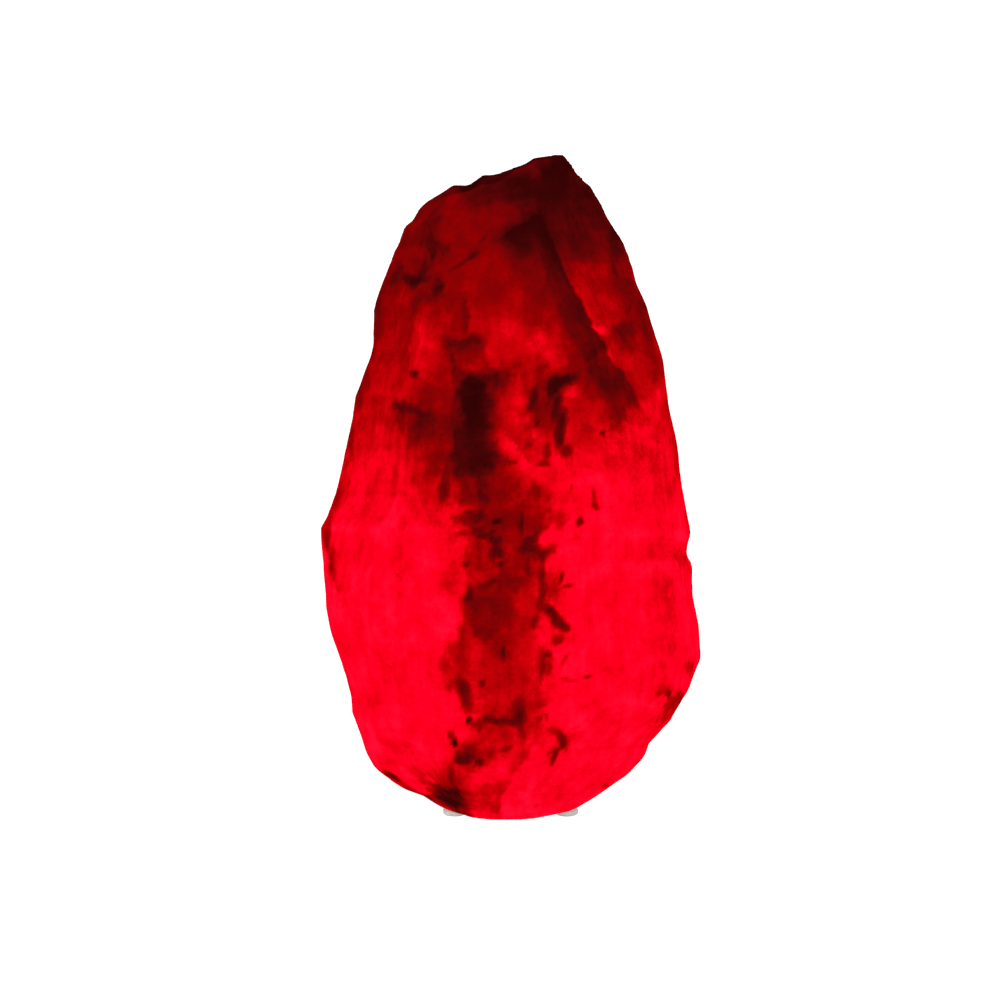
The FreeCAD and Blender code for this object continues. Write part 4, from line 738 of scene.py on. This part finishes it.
# the filament: a fine coil wound along the half ring that the CAD has
RING, COIL, WIRE_THICK = 0.0055, 0.00045, 0.00011
COIL_TURNS, STEPS_A_TURN, SIDES = 34, 12, 6
coil = bmesh.new()
loops = []
for step in range(COIL_TURNS * STEPS_A_TURN + 1):
    along = step / (COIL_TURNS * STEPS_A_TURN)
    turn = math.pi * (1 - along)
    ahead = 2 * math.pi * step / STEPS_A_TURN
    out = Vector((math.cos(turn), math.sin(turn), 0))
    winding = out * math.cos(ahead) + Vector((0, 0, 1)) * math.sin(ahead)
    centre = out * RING + Vector((0, 0, RING_HEIGHT)) + winding * (COIL - WIRE_THICK) * 0.6
    across = Vector((math.sin(turn), -math.cos(turn), 0))
    loops.append([
        coil.verts.new(centre + WIRE_THICK * (
            winding * math.cos(2 * math.pi * side / SIDES) + across * math.sin(2 * math.pi * side / SIDES)
        )) for side in range(SIDES)
    ])
for one, other in zip(loops, loops[1:]):
    for side in range(SIDES):
        coil.faces.new((one[side], one[side - 1], other[side - 1], other[side]))
coil.faces.new(loops[0])
coil.faces.new(loops[-1][::-1])
bmesh.ops.recalc_face_normals(coil, faces=coil.faces)
filament = piece_from(coil, "coiled_filament")
tungsten = Finish("hot_tungsten", Metallic=1.0, Roughness=0.4)
heat = tungsten.noise(500, 2).between(0.3, 0.7)
tungsten.give(
    Base_Color=tungsten.mix(heat, (0.3, 0.28, 0.26), (0.4, 0.38, 0.36)),
    Emission_Color=tungsten.mix(heat, (1.0, 0.34, 0.08), (1.0, 0.5, 0.18)), Emission_Strength=5.0,
)
filament.data.materials.append(tungsten.material)
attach(filament, "bulb")
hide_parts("filament")


# --- Floor and light -----------------------------------------------------------------------------
# A white sweep under and behind the lamp, a soft lamp from each side and a bright room.

FLOOR_HALF = 6.0
sheet = bmesh.new()
bmesh.ops.create_grid(sheet, x_segments=1, y_segments=1, size=FLOOR_HALF)
floor = piece_from(sheet, "studio_floor")
paper = Finish("white_paper", Roughness=0.9, Specular_IOR_Level=0.0)
paper.give(Base_Color=paper.mix(paper.noise(900, 3), (0.9, 0.9, 0.9), (0.92, 0.92, 0.92)))
seen = paper.node("LightPath")
paper.give(
    Emission_Color=paper.mix(seen, (0.0, 0.0, 0.0), (0.62, 0.62, 0.62)), Emission_Strength=1.0,
)
floor.data.materials.append(paper.material)

world = bpy.data.worlds.new("studio")
bpy.context.scene.world = world
world.use_nodes = True
sky = world.node_tree
room = sky.nodes["Background"]
room.inputs["Color"].default_value = (1, 1, 1, 1)
path = sky.nodes.new("ShaderNodeLightPath")
ROOM_LIGHT = 0.62
pale = sky.nodes.new("ShaderNodeMath")
pale.operation = "MAXIMUM"
sky.links.new(path.outputs["Is Camera Ray"], pale.inputs[0])
shiny = sky.nodes.new("ShaderNodeMath")
shiny.operation = "MAXIMUM"
sky.links.new(path.outputs["Is Glossy Ray"], shiny.inputs[0])
sky.links.new(path.outputs["Is Transmission Ray"], shiny.inputs[1])
sky.links.new(shiny.outputs[0], pale.inputs[1])
strength = sky.nodes.new("ShaderNodeMapRange")
strength.inputs["To Min"].default_value = ROOM_LIGHT
sky.links.new(pale.outputs[0], strength.inputs["Value"])
sky.links.new(strength.outputs[0], room.inputs["Strength"])

for name, spot, size, power in (
    ("key", (-1.2, -1.4, 1.5), 1.2, 14.0),
    ("fill", (1.5, -1.0, 1.0), 1.4, 7.0),
    ("rim", (0.4, 1.6, 1.2), 1.0, 5.0),
):
    lamp_data = bpy.data.lights.new(name, "AREA")
    lamp_data.shape, lamp_data.size, lamp_data.energy = "DISK", size, power
    lamp = bpy.data.objects.new(name, lamp_data)
    bpy.context.scene.collection.objects.link(lamp)
    lamp.location = spot
    lamp.rotation_euler = (Vector(LAMP_MIDDLE) - Vector(spot)).to_track_quat("-Z", "Y").to_euler()
